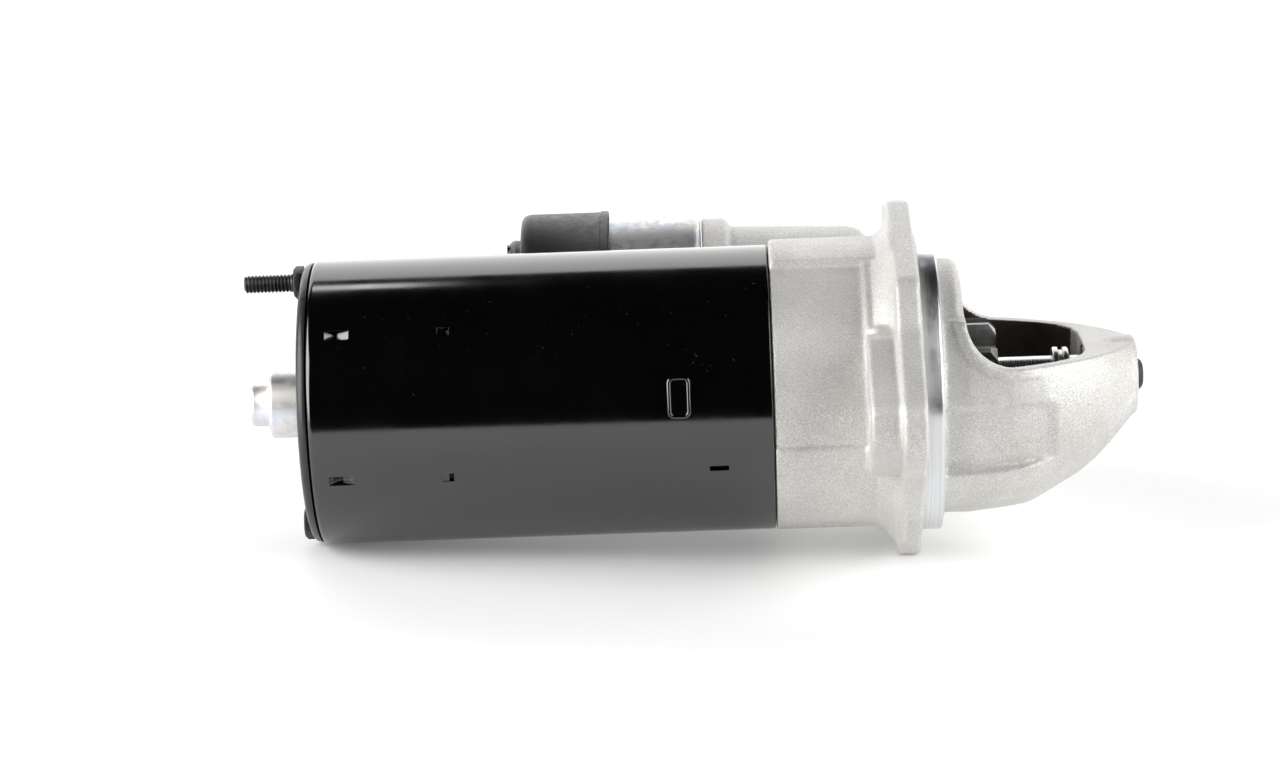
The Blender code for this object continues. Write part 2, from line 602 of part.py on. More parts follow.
def solenoid(axis):
    can = turned("solenoid_can", [
        (CAN_REAR, 23.4), (CAN_REAR, CAN_RADIUS), (-59.2, CAN_RADIUS), (-58.2, 24.4), (CAN_FRONT, 23.2),
        (CAN_FRONT, 10.2), (-60.2, 10.2), (-60.2, 23.4)], "zinc_plate", 36)
    coil = turned("solenoid_coil", [(-82.5, 10.6), (-82.5, 22.8), (-60.8, 22.8), (-60.8, 10.6)], "copper",
                  20)
    core = turned("solenoid_core", [(-87.0, 2.4), (-87.0, 20.0), (-83.2, 20.0), (-83.2, 10.2),
                                    (-71.8, 10.2),
                                    (-71.8, 2.4)], "bright_steel", 20)
    plunger = turned("plunger", [
        (-61.0, 0), (-61.0, 9.6), (-44.0, 9.6), (-43.4, 4.2), (-36.0, 4.2), (-36.0, 13.2), (-34.6, 13.2),
        (-34.6, 4.2), (-27.3, 4.2), (-27.3, 7.0), (-24.4, 7.0), (-24.4, 3.2), (-17.1, 3.2), (-17.1, 7.0),
        (-15.0, 7.0), (-15.0, 0)], "bright_steel", 16)
    spring = turned("plunger_spring", [(-57.2, 10.9), (-57.2, 12.7), (-36.4, 12.7), (-36.4, 10.9)],
                    "bright_steel", 24)
    bridge = turned("contact_bridge", [(-96.0, 0), (-96.0, 12.0), (-94.2, 12.0), (-94.2, 1.9), (-69.8, 1.9),
                                       (-69.8, 0)], "copper", 20)
    cap = turned("solenoid_cap", [
        (CAN_REAR - GAP, 23.8), (-87.4, 23.8), (-87.4, 20.6), (-99.5, 20.6), (-99.5, 0), (-113.6, 0),
        (-113.6, 17.4), (-112.6, 18.7), (-109.5, 18.9), (-109.5, 24.4), (-109.0, 25.6),
        (-107.7, 26.2), (-87.0, 26.2), (-86.8, CAP_RADIUS), (CAN_REAR - GAP, CAP_RADIUS)], "black_plastic",
        32)
    pieces = [can, coil, core, plunger, spring, bridge, cap]
    for name, side in (("motor", -1), ("battery", 1)):
        y = TERMINAL_OFFSET * side
        stud = turned(f"{name}_terminal", [
            (-127.0, 0), (-127.0, 3.2), (-126.2, 3.9), (-101.0, 3.9), (-101.0, 0)], "copper", 16, (y, 0))
        head = block(f"add_{name}_contact", (-101.6, y - 4.4, -6), (-98.4, y + 4.4, 6), None)
        boss = turned(f"add_{name}_boss", [(-115.4, 0), (-115.4, 6.4), (-112, 6.6), (-112, 0)], None, 20,
                      (y, 0))
        nut = prism(f"{name}_nut", ring_points(6, 7.5, 0.2, (y, 0)), -122.0, -115.8, "zinc_plate")
        bore = turned(f"cut_{name}_nut", [(-130, 0), (-130, 4.2), (-110, 4.2), (-110, 0)], None, 16, (y, 0))
        seat = turned(f"cut_{name}_seat", [(-130, 0), (-130, 4.2), (-100, 4.2), (-100, 0)], None, 16,
                      (y, 0))
        pocket = block(f"cut_{name}_pocket", (-101.9, y - 4.7, -6.3), (-98.0, y + 4.7, 6.3), None)
        join(cap, boss)
        cut(cap, seat, pocket)
        join(stud, head)
        cut(nut, bore)
        pieces += [stud, head, boss, nut, bore, seat, pocket]
    blade = block("blade_terminal", (-122.5, -3.15, -15.4), (-108.6, 3.15, -14.6), "bronze")
    slot = block("cut_blade", (-130, -3.45, -15.7), (-108.2, 3.45, -14.3), None)
    cut(cap, slot)
    pieces += [blade, slot]
    for i in range(3):
        pieces.append(solenoid_screw(i))
    hang(axis, *pieces)


def solenoid_screw(index):
    """Screw from the front of the pad into a tapped lug of the can."""
    return turned(f"solenoid_screw_{index + 1}", [
        (-57.1, 0), (-57.1, 2.4), (SCREW_SEAT + GAP, 2.4), (SCREW_SEAT + GAP, 4.6), (-46.0, 4.6),
        (-45.4, 3.9), (-45.4, 0)],
        "zinc_plate", 16, screw_place(index))


def lead_route():
    """The lead's centre line, from the motor terminal to the grommet in the field frame."""
    return [(-125.3, 51.8, 8.8), (-125.8, 49.2, 8.4), (-128.2, 47.2, 7.9), (-133.0, 46.8, 6.9),
            (-139.0, 47.8, 5.3), (-144.6, 48.2, 4.0), (-148.4, 46.2, 3.5), (-149.6, 42.5, 3.4)]


def motor_lead():
    """A short covered cable, its end crimped to the motor terminal, and its grommet."""
    curve = bpy.data.curves.new("motor_lead", "CURVE")
    curve.dimensions = "3D"
    curve.bevel_depth = 2.6 * MM
    curve.bevel_resolution = 2
    curve.use_fill_caps = True
    spline = curve.splines.new("POLY")
    route = smooth_route(lead_route(), 3)
    spline.points.add(len(route) - 1)
    for point, place in zip(spline.points, route):
        point.co = (*(place * MM), 1)
    lead = bpy.data.objects.new("motor_lead", curve)
    bpy.context.collection.objects.link(lead)
    curve.materials.append(material("rubber"))
    grommet = block("lead_grommet", (-5.2, -5.2, 36.0), (5.2, 5.2, 41.6), "rubber")
    grommet.location = (-149.6 * MM, 0, 0)
    grommet.rotation_euler = (math.radians(90 - 185), 0, 0)


def smooth_route(points, parts):
    """Points along a Catmull-Rom curve through the given ones."""
    spots = [Vector(p) for p in points]
    ends = [spots[0] * 2 - spots[1]] + spots + [spots[-1] * 2 - spots[-2]]
    route = []
    for i in range(1, len(ends) - 2):
        for k in range(parts):
            t = k / parts
            a, b, c, d = ends[i - 1:i + 3]
            route.append(0.5 * (2 * b + (c - a) * t + (2 * a - 5 * b + 4 * c - d) * t ** 2
                                + (3 * b - a - 3 * c + d) * t ** 3))
    route.append(spots[-1])
    return route


def main():
    start_empty()
    solenoid_axis = frame_on_solenoid()
    shaft_axis = bpy.data.objects.new("shaft_axis", None)
    bpy.context.collection.objects.link(shaft_axis)
    drive_housing(solenoid_axis)
    nose_pieces()
    field_frame()
    magnets()
    rear_end()
    brush_gear()
    armature()
    ring_gear()
    planets(shaft_axis)
    drive_shaft(shaft_axis)
    drive(shaft_axis)
    shift_lever(solenoid_axis)
    solenoid(solenoid_axis)
    motor_lead()


main()
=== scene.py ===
"""Looks of the starter motor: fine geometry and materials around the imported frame.

The frame's own axes are kept: +X along the shaft to the nose, +Z up. Dimensions inside the mesh
functions are in millimetres; MM turns them into metres. Angles round the shaft are measured from -Y
over the top.
"""
import json
import math

import bmesh
import bpy
from mathutils import Matrix, Vector


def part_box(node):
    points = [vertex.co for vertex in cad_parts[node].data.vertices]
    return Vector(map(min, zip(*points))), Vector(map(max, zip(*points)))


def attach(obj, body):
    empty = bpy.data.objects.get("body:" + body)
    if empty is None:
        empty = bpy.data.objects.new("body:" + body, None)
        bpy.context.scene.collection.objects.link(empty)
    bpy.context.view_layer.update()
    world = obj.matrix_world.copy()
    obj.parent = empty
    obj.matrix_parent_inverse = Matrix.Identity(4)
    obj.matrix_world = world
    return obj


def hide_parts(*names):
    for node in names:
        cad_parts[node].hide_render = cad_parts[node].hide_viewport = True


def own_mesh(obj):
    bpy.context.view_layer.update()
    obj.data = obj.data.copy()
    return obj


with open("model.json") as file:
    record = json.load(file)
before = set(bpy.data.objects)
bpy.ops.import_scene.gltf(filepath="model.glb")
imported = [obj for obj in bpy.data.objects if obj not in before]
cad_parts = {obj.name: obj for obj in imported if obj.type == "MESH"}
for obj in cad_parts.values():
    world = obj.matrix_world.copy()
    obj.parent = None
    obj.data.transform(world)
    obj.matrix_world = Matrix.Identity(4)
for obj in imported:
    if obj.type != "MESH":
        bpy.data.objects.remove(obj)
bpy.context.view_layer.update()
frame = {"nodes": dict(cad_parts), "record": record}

MM = 0.001
ROUND = 144          # sides of a large turned piece
SMALL_ROUND = 64
CAST_VOXEL = 0.62    # mm, grain of the remeshed casting
CAST_SMOOTHING = 3   # rounds of smoothing that give the casting its rounded edges
CAST_KEEP = 0.42     # share of the casting's faces that is kept
FLOOR_FRONT = 0.25   # m in front of the shaft, where the part of the table that the paint mirrors ends
CAMERA_ROLL = 2.3    # degrees


# ---------------------------------------------------------------- places read from the frame

def box_mm(node):
    low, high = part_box(node)
    return [c / MM for c in low], [c / MM for c in high]


def centre_mm(node):
    low, high = box_mm(node)
    return Vector([(a + b) / 2 for a, b in zip(low, high)])


YOKE_LOW, YOKE_HIGH = box_mm("field_frame")
YOKE_RADIUS = YOKE_HIGH[2]
YOKE_REAR = YOKE_LOW[0]
YOKE_FRONT = YOKE_HIGH[0]
HOUSING_BOTTOM = box_mm("drive_housing")[0][2]
CAN_CENTRE = centre_mm("solenoid_can")
SOLENOID_YZ = (CAN_CENTRE.y, CAN_CENTRE.z)
SOLENOID_TILT = math.atan2(CAN_CENTRE.z, CAN_CENTRE.y)
SOLENOID_OFFSET = math.hypot(CAN_CENTRE.y, CAN_CENTRE.z)
FLOOR_TILT = math.atan2(HOUSING_BOTTOM + YOKE_RADIUS, -YOKE_REAR - 3)


# ---------------------------------------------------------------- mesh tools

def link(name, mesh):
    obj = bpy.data.objects.new(name, mesh)
    bpy.context.scene.collection.objects.link(obj)
    return obj


def from_bmesh(name, bm, sharp=32):
    bmesh.ops.remove_doubles(bm, verts=bm.verts, dist=1e-7)
    bmesh.ops.recalc_face_normals(bm, faces=bm.faces)
    mesh = bpy.data.meshes.new(name)
    bm.to_mesh(mesh)
    bm.free()
    mesh.shade_smooth()
    mesh.set_sharp_from_angle(angle=math.radians(sharp))
    return link(name, mesh)


def lathe(name, outline, steps=ROUND, centre=(0.0, 0.0), sector=None):
    """Turn a closed outline of (x, radius) about an axis parallel to X; sector = (from, to) angles."""
    bm = bmesh.new()
    verts = [bm.verts.new((x * MM, 0, r * MM)) for x, r in outline]
    if sector:
        face = bm.faces.new(verts)
        start, end = sector
        turn_to = Matrix.Rotation(math.radians(90 - start), 4, "X")
        bmesh.ops.transform(bm, matrix=turn_to, verts=bm.verts)
        bmesh.ops.spin(bm, geom=[face], cent=(0, 0, 0), axis=(1, 0, 0),
                       angle=math.radians(start - end), steps=steps)
    else:
        edges = [bm.edges.new((vert, verts[(i + 1) % len(verts)])) for i, vert in enumerate(verts)
                 if outline[i][1] > 0 or outline[(i + 1) % len(verts)][1] > 0]
        bmesh.ops.spin(bm, geom=verts + edges, cent=(0, 0, 0), axis=(1, 0, 0),
                       angle=2 * math.pi, steps=steps, use_merge=True)
    bmesh.ops.translate(bm, verts=bm.verts, vec=(0, centre[0] * MM, centre[1] * MM))
    return from_bmesh(name, bm)


def extrude_x(name, outline, x0, x1):
    bm = bmesh.new()
    face = bm.faces.new([bm.verts.new((x0 * MM, y * MM, z * MM)) for y, z in outline])
    made = bmesh.ops.extrude_face_region(bm, geom=[face])
    moved = [item for item in made["geom"] if isinstance(item, bmesh.types.BMVert)]
    bmesh.ops.translate(bm, verts=moved, vec=((x1 - x0) * MM, 0, 0))
    return from_bmesh(name, bm)


def extrude_y(name, outline, y0, y1):
    """Extrude a closed outline of (x, z) points along Y."""
    obj = extrude_x(name, [(-x, z) for x, z in outline], y0, y1)
    obj.data.transform(Matrix.Rotation(math.radians(90), 4, "Z"))
    return obj


def block(name, low, high):
    return extrude_x(name, [(low[1], low[2]), (high[1], low[2]), (high[1], high[2]), (low[1], high[2])],
                     low[0], high[0])


def settle(obj):
    """Replace an object's mesh by what its modifiers make of it."""
    bpy.context.view_layer.update()
    graph = bpy.context.evaluated_depsgraph_get()
    mesh = bpy.data.meshes.new_from_object(obj.evaluated_get(graph))
    old = obj.data
    obj.modifiers.clear()
    obj.data = mesh
    bpy.data.meshes.remove(old)
    return obj


def combine(target, others, operation):
    for other in others:
        change = target.modifiers.new("combine", "BOOLEAN")
        change.operation = operation
        change.solver = "EXACT"
        change.object = other
    settle(target)
    for other in others:
        bpy.data.objects.remove(other, do_unlink=True)
    return target


def cut(target, *others):
    return combine(target, others, "DIFFERENCE")


def join(target, *others):
    return combine(target, others, "UNION")


def soften(obj, width, segments=3, angle=30):
    """Round the edges that are sharper than an angle."""
    change = obj.modifiers.new("edge", "BEVEL")
    change.width = width * MM
    change.segments = segments
    change.limit_method = "ANGLE"
    change.angle_limit = math.radians(angle)
    change.harden_normals = False
    change.use_clamp_overlap = True
    settle(obj)
    obj.data.shade_smooth()
    obj.data.set_sharp_from_angle(angle=math.radians(40))
    return obj


def to_solenoid(obj):
    """Move a piece made round the shaft axis onto the solenoid's axis: its +Y then points away."""
    obj.data.transform(Matrix.Translation((0, SOLENOID_YZ[0] * MM, SOLENOID_YZ[1] * MM))
                       @ Matrix.Rotation(SOLENOID_TILT, 4, "X"))
    return obj


def at_angle(obj, x, angle, radius=0.0):
    """Place a piece made with +Z as its outward direction at a station and an angle round the shaft."""
    obj.data.transform(Matrix.Translation((x * MM, 0, 0)) @ Matrix.Rotation(math.radians(90 - angle), 4, "X")
                       @ Matrix.Translation((0, 0, radius * MM)))
    return obj


def ring_points(count, radius, turn=0.0, centre=(0.0, 0.0)):
    step = 2 * math.pi / count
    return [(centre[0] + radius * math.cos(turn + i * step), centre[1] + radius * math.sin(turn + i * step))
            for i in range(count)]


def rounded_outline(corners, arc_points=9):
    """Round each (a, b, radius) corner of a polygon with an arc that meets both sides."""
    points = []
    for i, (a, b, radius) in enumerate(corners):
        corner = Vector((a, b))
        before = (Vector(corners[i - 1][:2]) - corner).normalized()
        after = (Vector(corners[(i + 1) % len(corners)][:2]) - corner).normalized()
        half = before.angle(after) / 2
        reach = radius / math.tan(half)
        centre = corner + (before + after).normalized() * (radius / math.sin(half))
        first = corner + before * reach - centre
        sweep = first.angle_signed(corner + after * reach - centre)
        for k in range(arc_points):
            points.append(tuple(centre + Matrix.Rotation(-sweep * k / (arc_points - 1), 2) @ first))
    return points


def smooth_curve(points, parts=6):
    """Points along a Catmull-Rom curve through the given ones."""
    spots = [Vector(p) for p in points]
    ends = [spots[0] * 2 - spots[1]] + spots + [spots[-1] * 2 - spots[-2]]
    route = []
    for i in range(1, len(ends) - 2):
        for k in range(parts):
            t = k / parts
            a, b, c, d = ends[i - 1:i + 3]
            route.append(0.5 * (2 * b + (c - a) * t + (2 * a - 5 * b + 4 * c - d) * t ** 2
                                + (3 * b - a - 3 * c + d) * t ** 3))
    return route + [spots[-1]]


def threaded_rod(name, x0, x1, radius, pitch, depth, centre=(0.0, 0.0), plain=1.2):
    """A rod with a real helical thread from x0 (its free end) towards x1, plain over its last stretch."""
    around = 40
    along = max(8, int((x1 - x0) / pitch * 8))
    bm = bmesh.new()
    rows = []
    for j in range(along + 1):
        x = x0 + (x1 - x0) * j / along
        end_fade = min(1.0, (x - x0) / (0.7 * pitch))
        run_out = min(1.0, max(0.0, (x1 - plain - x) / (0.8 * pitch)))
        row = []
        for i in range(around):
            turn = 2 * math.pi * i / around
            phase = ((x - x0) / pitch - i / around) % 1.0
            tooth = abs(2 * phase - 1)
            tooth = min(1.0, max(0.0, (tooth - 0.12) / 0.74))
            r = radius - depth * (1 - tooth) * run_out - depth * (1 - end_fade)
            row.append(bm.verts.new((x * MM, (centre[0] + r * math.cos(turn)) * MM,
                                     (centre[1] + r * math.sin(turn)) * MM)))
        rows.append(row)
    for low, high in zip(rows, rows[1:]):
        for i in range(around):
            k = (i + 1) % around
            bm.faces.new((low[i], low[k], high[k], high[i]))
    bm.faces.new(rows[0])
    bm.faces.new(rows[-1])
    return from_bmesh(name, bm, 60)


def tube(name, route, radius, sides=12, closed=False):
    """A round tube along points in millimetres, made as a curve and turned into a mesh."""
    curve = bpy.data.curves.new(name, "CURVE")
    curve.dimensions = "3D"
    curve.bevel_depth = radius * MM
    curve.bevel_resolution = max(1, sides // 4)
    curve.use_fill_caps = True
    spline = curve.splines.new("POLY")
    spline.points.add(len(route) - 1)
    spline.use_cyclic_u = closed
    for point, place in zip(spline.points, route):
        point.co = (*(Vector(place) * MM), 1)
    holder = bpy.data.objects.new(name, curve)
    bpy.context.scene.collection.objects.link(holder)
    bpy.context.view_layer.update()
    mesh = bpy.data.meshes.new_from_object(holder.evaluated_get(bpy.context.evaluated_depsgraph_get()))
    bpy.data.objects.remove(holder, do_unlink=True)
    mesh.shade_smooth()
    return link(name, mesh)


def remesh(obj, voxel, smooth_steps, keep=1.0):
    """Give a solid the soft edges of a casting: even small faces, smoothed, then thinned."""
    change = obj.modifiers.new("cast", "REMESH")
    change.mode = "VOXEL"
    change.voxel_size = voxel * MM
    change.adaptivity = 0.0
    smooth = obj.modifiers.new("smooth", "SMOOTH")
    smooth.factor = 0.5
    smooth.iterations = smooth_steps
    if keep < 1:
        thin = obj.modifiers.new("thin", "DECIMATE")
        thin.ratio = keep
    settle(obj)
    obj.data.shade_smooth()
    return obj


# ---------------------------------------------------------------- materials

def shader_of(name):
    mat = bpy.data.materials.new(name)
    mat.use_nodes = True
    return mat, mat.node_tree, mat.node_tree.nodes["Principled BSDF"]


def noise(tree, scale, detail=3.0, rough=0.5, stretch=None):
    """A noise texture in object space; scale is in features per metre, stretch scales each axis."""
    place = tree.nodes.new("ShaderNodeTexCoord")
    made = tree.nodes.new("ShaderNodeTexNoise")
    made.inputs["Scale"].default_value = scale
    made.inputs["Detail"].default_value = detail
    made.inputs["Roughness"].default_value = rough
    source = place.outputs["Object"]
    if stretch:
        mapping = tree.nodes.new("ShaderNodeMapping")
        mapping.inputs["Scale"].default_value = stretch
        tree.links.new(source, mapping.inputs["Vector"])
        source = mapping.outputs["Vector"]
    tree.links.new(source, made.inputs["Vector"])
    return made.outputs["Fac"]


def ramp(tree, source, stops):
    """Colour ramp: stops are (position, colour) with a grey number or an RGB triple."""
    made = tree.nodes.new("ShaderNodeValToRGB")
    elements = made.color_ramp.elements
    while len(elements) < len(stops):
        elements.new(0.5)
    for element, (position, colour) in zip(elements, stops):
        element.position = position
        element.color = (*colour, 1) if isinstance(colour, tuple) else (colour, colour, colour, 1)
    tree.links.new(source, made.inputs["Fac"])
    return made.outputs["Color"]


def multiply(tree, first, second):
    """The product of two colours."""
    made = tree.nodes.new("ShaderNodeMix")
    made.data_type = "RGBA"
    made.blend_type = "MULTIPLY"
    made.inputs["Factor"].default_value = 1.0
    tree.links.new(first, made.inputs["A"])
    tree.links.new(second, made.inputs["B"])
    return made.outputs["Result"]


def bump(tree, shader, source, strength, distance, after=None):
    made = tree.nodes.new("ShaderNodeBump")
    made.inputs["Strength"].default_value = strength
    made.inputs["Distance"].default_value = distance * MM
    tree.links.new(source, made.inputs["Height"])
    if after:
        tree.links.new(after, made.inputs["Normal"])
    tree.links.new(made.outputs["Normal"], shader.inputs["Normal"])
    return made.outputs["Normal"]


def cast_aluminium():
    mat, tree, shader = shader_of("cast_aluminium")
    shader.inputs["Metallic"].default_value = 0.55
    clouds = noise(tree, 70, 4)
    tone = ramp(tree, clouds, [(0.32, (0.585, 0.575, 0.55)), (0.70, (0.675, 0.665, 0.64))])
    grains = noise(tree, 2900, 2, 0.6)
    sparkle = ramp(tree, grains, [(0.34, 0.78), (0.50, 0.98), (0.60, 1.08), (0.70, 1.35)])
    tree.links.new(multiply(tree, tone, sparkle), shader.inputs["Base Color"])
    rough = ramp(tree, grains, [(0.35, 0.70), (0.65, 0.48)])
    tree.links.new(rough, shader.inputs["Roughness"])
    first = bump(tree, shader, noise(tree, 2400, 3, 0.65), 0.6, 0.16)
    bump(tree, shader, noise(tree, 190, 2), 0.25, 0.5, first)
    return mat


def machined_aluminium():
    mat, tree, shader = shader_of("machined_aluminium")
    shader.inputs["Metallic"].default_value = 1.0
    lines = noise(tree, 60, 1, 0.5, (70, 0.25, 0.25))
    tone = ramp(tree, lines, [(0.3, (0.62, 0.63, 0.65)), (0.7, (0.76, 0.77, 0.785))])
    tree.links.new(tone, shader.inputs["Base Color"])
    marks = noise(tree, 260, 4, 0.7)
    tree.links.new(ramp(tree, marks, [(0.35, 0.36), (0.6, 0.28)]), shader.inputs["Roughness"])
    shader.inputs["Anisotropic"].default_value = 0.85
    shader.inputs["Anisotropic Rotation"].default_value = 0.25
    turned = tree.nodes.new("ShaderNodeTangent")
    turned.direction_type = "RADIAL"
    turned.axis = "X"
    tree.links.new(turned.outputs["Tangent"], shader.inputs["Tangent"])
    bump(tree, shader, lines, 0.35, 0.05)
    return mat


def black_paint():
    mat, tree, shader = shader_of("black_paint")
    shader.inputs["IOR"].default_value = 1.85
    dust = noise(tree, 1100, 1, 0.4)
    tone = ramp(tree, dust, [(0.765, 0.001), (0.80, 0.03)])
    tree.links.new(tone, shader.inputs["Base Color"])
    wear = noise(tree, 45, 5, 0.6)
    tree.links.new(ramp(tree, wear, [(0.35, 0.10), (0.7, 0.16)]), shader.inputs["Roughness"])
    first = bump(tree, shader, noise(tree, 130, 2), 0.06, 0.25)
    bump(tree, shader, noise(tree, 1300, 2, 0.5), 0.05, 0.04, first)
    return mat


def cover_paint():
    mat, tree, shader = shader_of("cover_paint")
    tone = ramp(tree, noise(tree, 60, 3), [(0.3, 0.010), (0.7, 0.020)])
    tree.links.new(tone, shader.inputs["Base Color"])
    tree.links.new(ramp(tree, noise(tree, 400, 3), [(0.3, 0.26), (0.7, 0.40)]), shader.inputs["Roughness"])
    bump(tree, shader, noise(tree, 1100, 3, 0.6), 0.5, 0.12)
    return mat


def black_plastic():
    mat, tree, shader = shader_of("black_plastic")
    shader.inputs["Specular IOR Level"].default_value = 0.35
    tone = ramp(tree, noise(tree, 80, 3), [(0.3, 0.009), (0.75, 0.018)])
    tree.links.new(tone, shader.inputs["Base Color"])
    tree.links.new(ramp(tree, noise(tree, 500, 3), [(0.3, 0.34), (0.7, 0.48)]), shader.inputs["Roughness"])
    bump(tree, shader, noise(tree, 1500, 3, 0.6), 0.5, 0.1)
    return mat


def zinc(name, mottled):
    """Bright zinc plating with a faint pink, yellow and blue tint that drifts over the surface."""
    mat, tree, shader = shader_of(name)
    shader.inputs["Metallic"].default_value = 1.0
    drift = noise(tree, 55, 3, 0.5, (1, 1, 2.2))
    tint = ramp(tree, drift, [(0.25, (0.86, 0.80, 0.86)), (0.42, (0.80, 0.83, 0.90)),
                              (0.56, (0.88, 0.84, 0.80)), (0.70, (0.84, 0.86, 0.84))])
    spots = noise(tree, 420, 5, 0.7)
    stain = ramp(tree, spots, [(0.40, 0.74 if mottled else 0.9), (0.62, 1.0)])
    tree.links.new(multiply(tree, tint, stain), shader.inputs["Base Color"])
    tree.links.new(ramp(tree, spots, [(0.35, 0.52), (0.65, 0.38)]), shader.inputs["Roughness"])
    bump(tree, shader, spots, 0.3 if mottled else 0.1, 0.03)
    return mat


def steel(name, low, high, rough, stretch=None):
    mat, tree, shader = shader_of(name)
    shader.inputs["Metallic"].default_value = 1.0
    clouds = noise(tree, 140, 4, 0.6)
    tree.links.new(ramp(tree, clouds, [(0.3, low), (0.7, high)]), shader.inputs["Base Color"])
    fine = noise(tree, 300, 3, 0.6, stretch)
    tree.links.new(ramp(tree, fine, [(0.3, rough + 0.12), (0.7, rough)]), shader.inputs["Roughness"])
    bump(tree, shader, fine, 0.2, 0.04)
    return mat


def dull(name, low, high, rough, grain, depth, metallic=0.0):
    """A mineral, rubber or moulded surface: two tones, a rough grain and a bump."""
    mat, tree, shader = shader_of(name)
    shader.inputs["Metallic"].default_value = metallic
    tree.links.new(ramp(tree, noise(tree, 120, 4), [(0.3, low), (0.7, high)]), shader.inputs["Base Color"])
    fine = noise(tree, grain, 3, 0.6)
    tree.links.new(ramp(tree, fine, [(0.3, rough), (0.7, rough - 0.15)]), shader.inputs["Roughness"])
    bump(tree, shader, fine, 0.5, depth)
    return mat


def make_finishes():
    return {
        "cast_aluminium": cast_aluminium(),
        "black_paint": black_paint(),
        "black_plastic": black_plastic(),
        "gear_plastic": dull("gear_plastic", (0.13, 0.12, 0.10), (0.19, 0.18, 0.155), 0.6, 700, 0.08),
        "zinc_plate": zinc("zinc_plate", False),
        "black_steel": steel("black_steel", (0.035, 0.033, 0.032), (0.085, 0.08, 0.078), 0.34),
        "bright_steel": steel("bright_steel", (0.50, 0.50, 0.51), (0.66, 0.66, 0.67), 0.2, (60, 1, 1)),
        "gear_steel": steel("gear_steel", (0.27, 0.265, 0.26), (0.42, 0.415, 0.41), 0.32),
        "laminations": steel("laminations", (0.26, 0.25, 0.25), (0.40, 0.39, 0.38), 0.36, (900, 1, 1)),
        "ferrite": dull("ferrite", (0.05, 0.05, 0.055), (0.09, 0.09, 0.095), 0.8, 900, 0.1),
        "copper": steel("copper", (0.62, 0.28, 0.15), (0.80, 0.42, 0.25), 0.26, (1, 6, 6)),
        "carbon": dull("carbon", (0.035, 0.03, 0.03), (0.10, 0.07, 0.055), 0.7, 1200, 0.08, 0.3),
        "bronze": steel("bronze", (0.50, 0.36, 0.19), (0.66, 0.50, 0.29), 0.34),
        "rubber": dull("rubber", (0.014, 0.014, 0.014), (0.03, 0.03, 0.03), 0.62, 1100, 0.08),
    }


FINISH = make_finishes()
MACHINED = machined_aluminium()
# Painted shade: a near-black casting finish that stands in for the shade inside the nose's cavity.
CAST_INSIDE_SHADE = dull("cast_inside_painted_shade", (0.022, 0.016, 0.012), (0.055, 0.042, 0.034), 0.75, 700, 0.2)
COVER_PAINT = cover_paint()
MOTTLED_ZINC = zinc("mottled_zinc", True)


def wear(obj, finish, slot_name, body, *replaced):
    """Give a new piece its finish and body, and hide the CAD nodes that it stands for; slot_name is not used.
    """
    obj.data.materials.clear()
    obj.data.materials.append(finish)
    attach(obj, body)
    if replaced:
        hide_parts(*replaced)
    return obj


# ---------------------------------------------------------------- drive housing

NOSE_PROFILE = [(0, 37.4), (6.7, 37.2), (13, 36.8), (19.3, 36.2), (24.7, 35.5), (28.9, 34.4), (33.2, 32.3),
                (37.4, 29.9), (43.5, 26.4), (48.4, 22.6), (52.7, 18.3), (56.5, 14.0), (59.0, 11.0)]
WINDOW_HEIGHT = 10.0
COLLAR_FRONT = 12.5
NOSE_INSIDE_RADIUS = 33.5
NOSE_INSIDE_END = 50.0


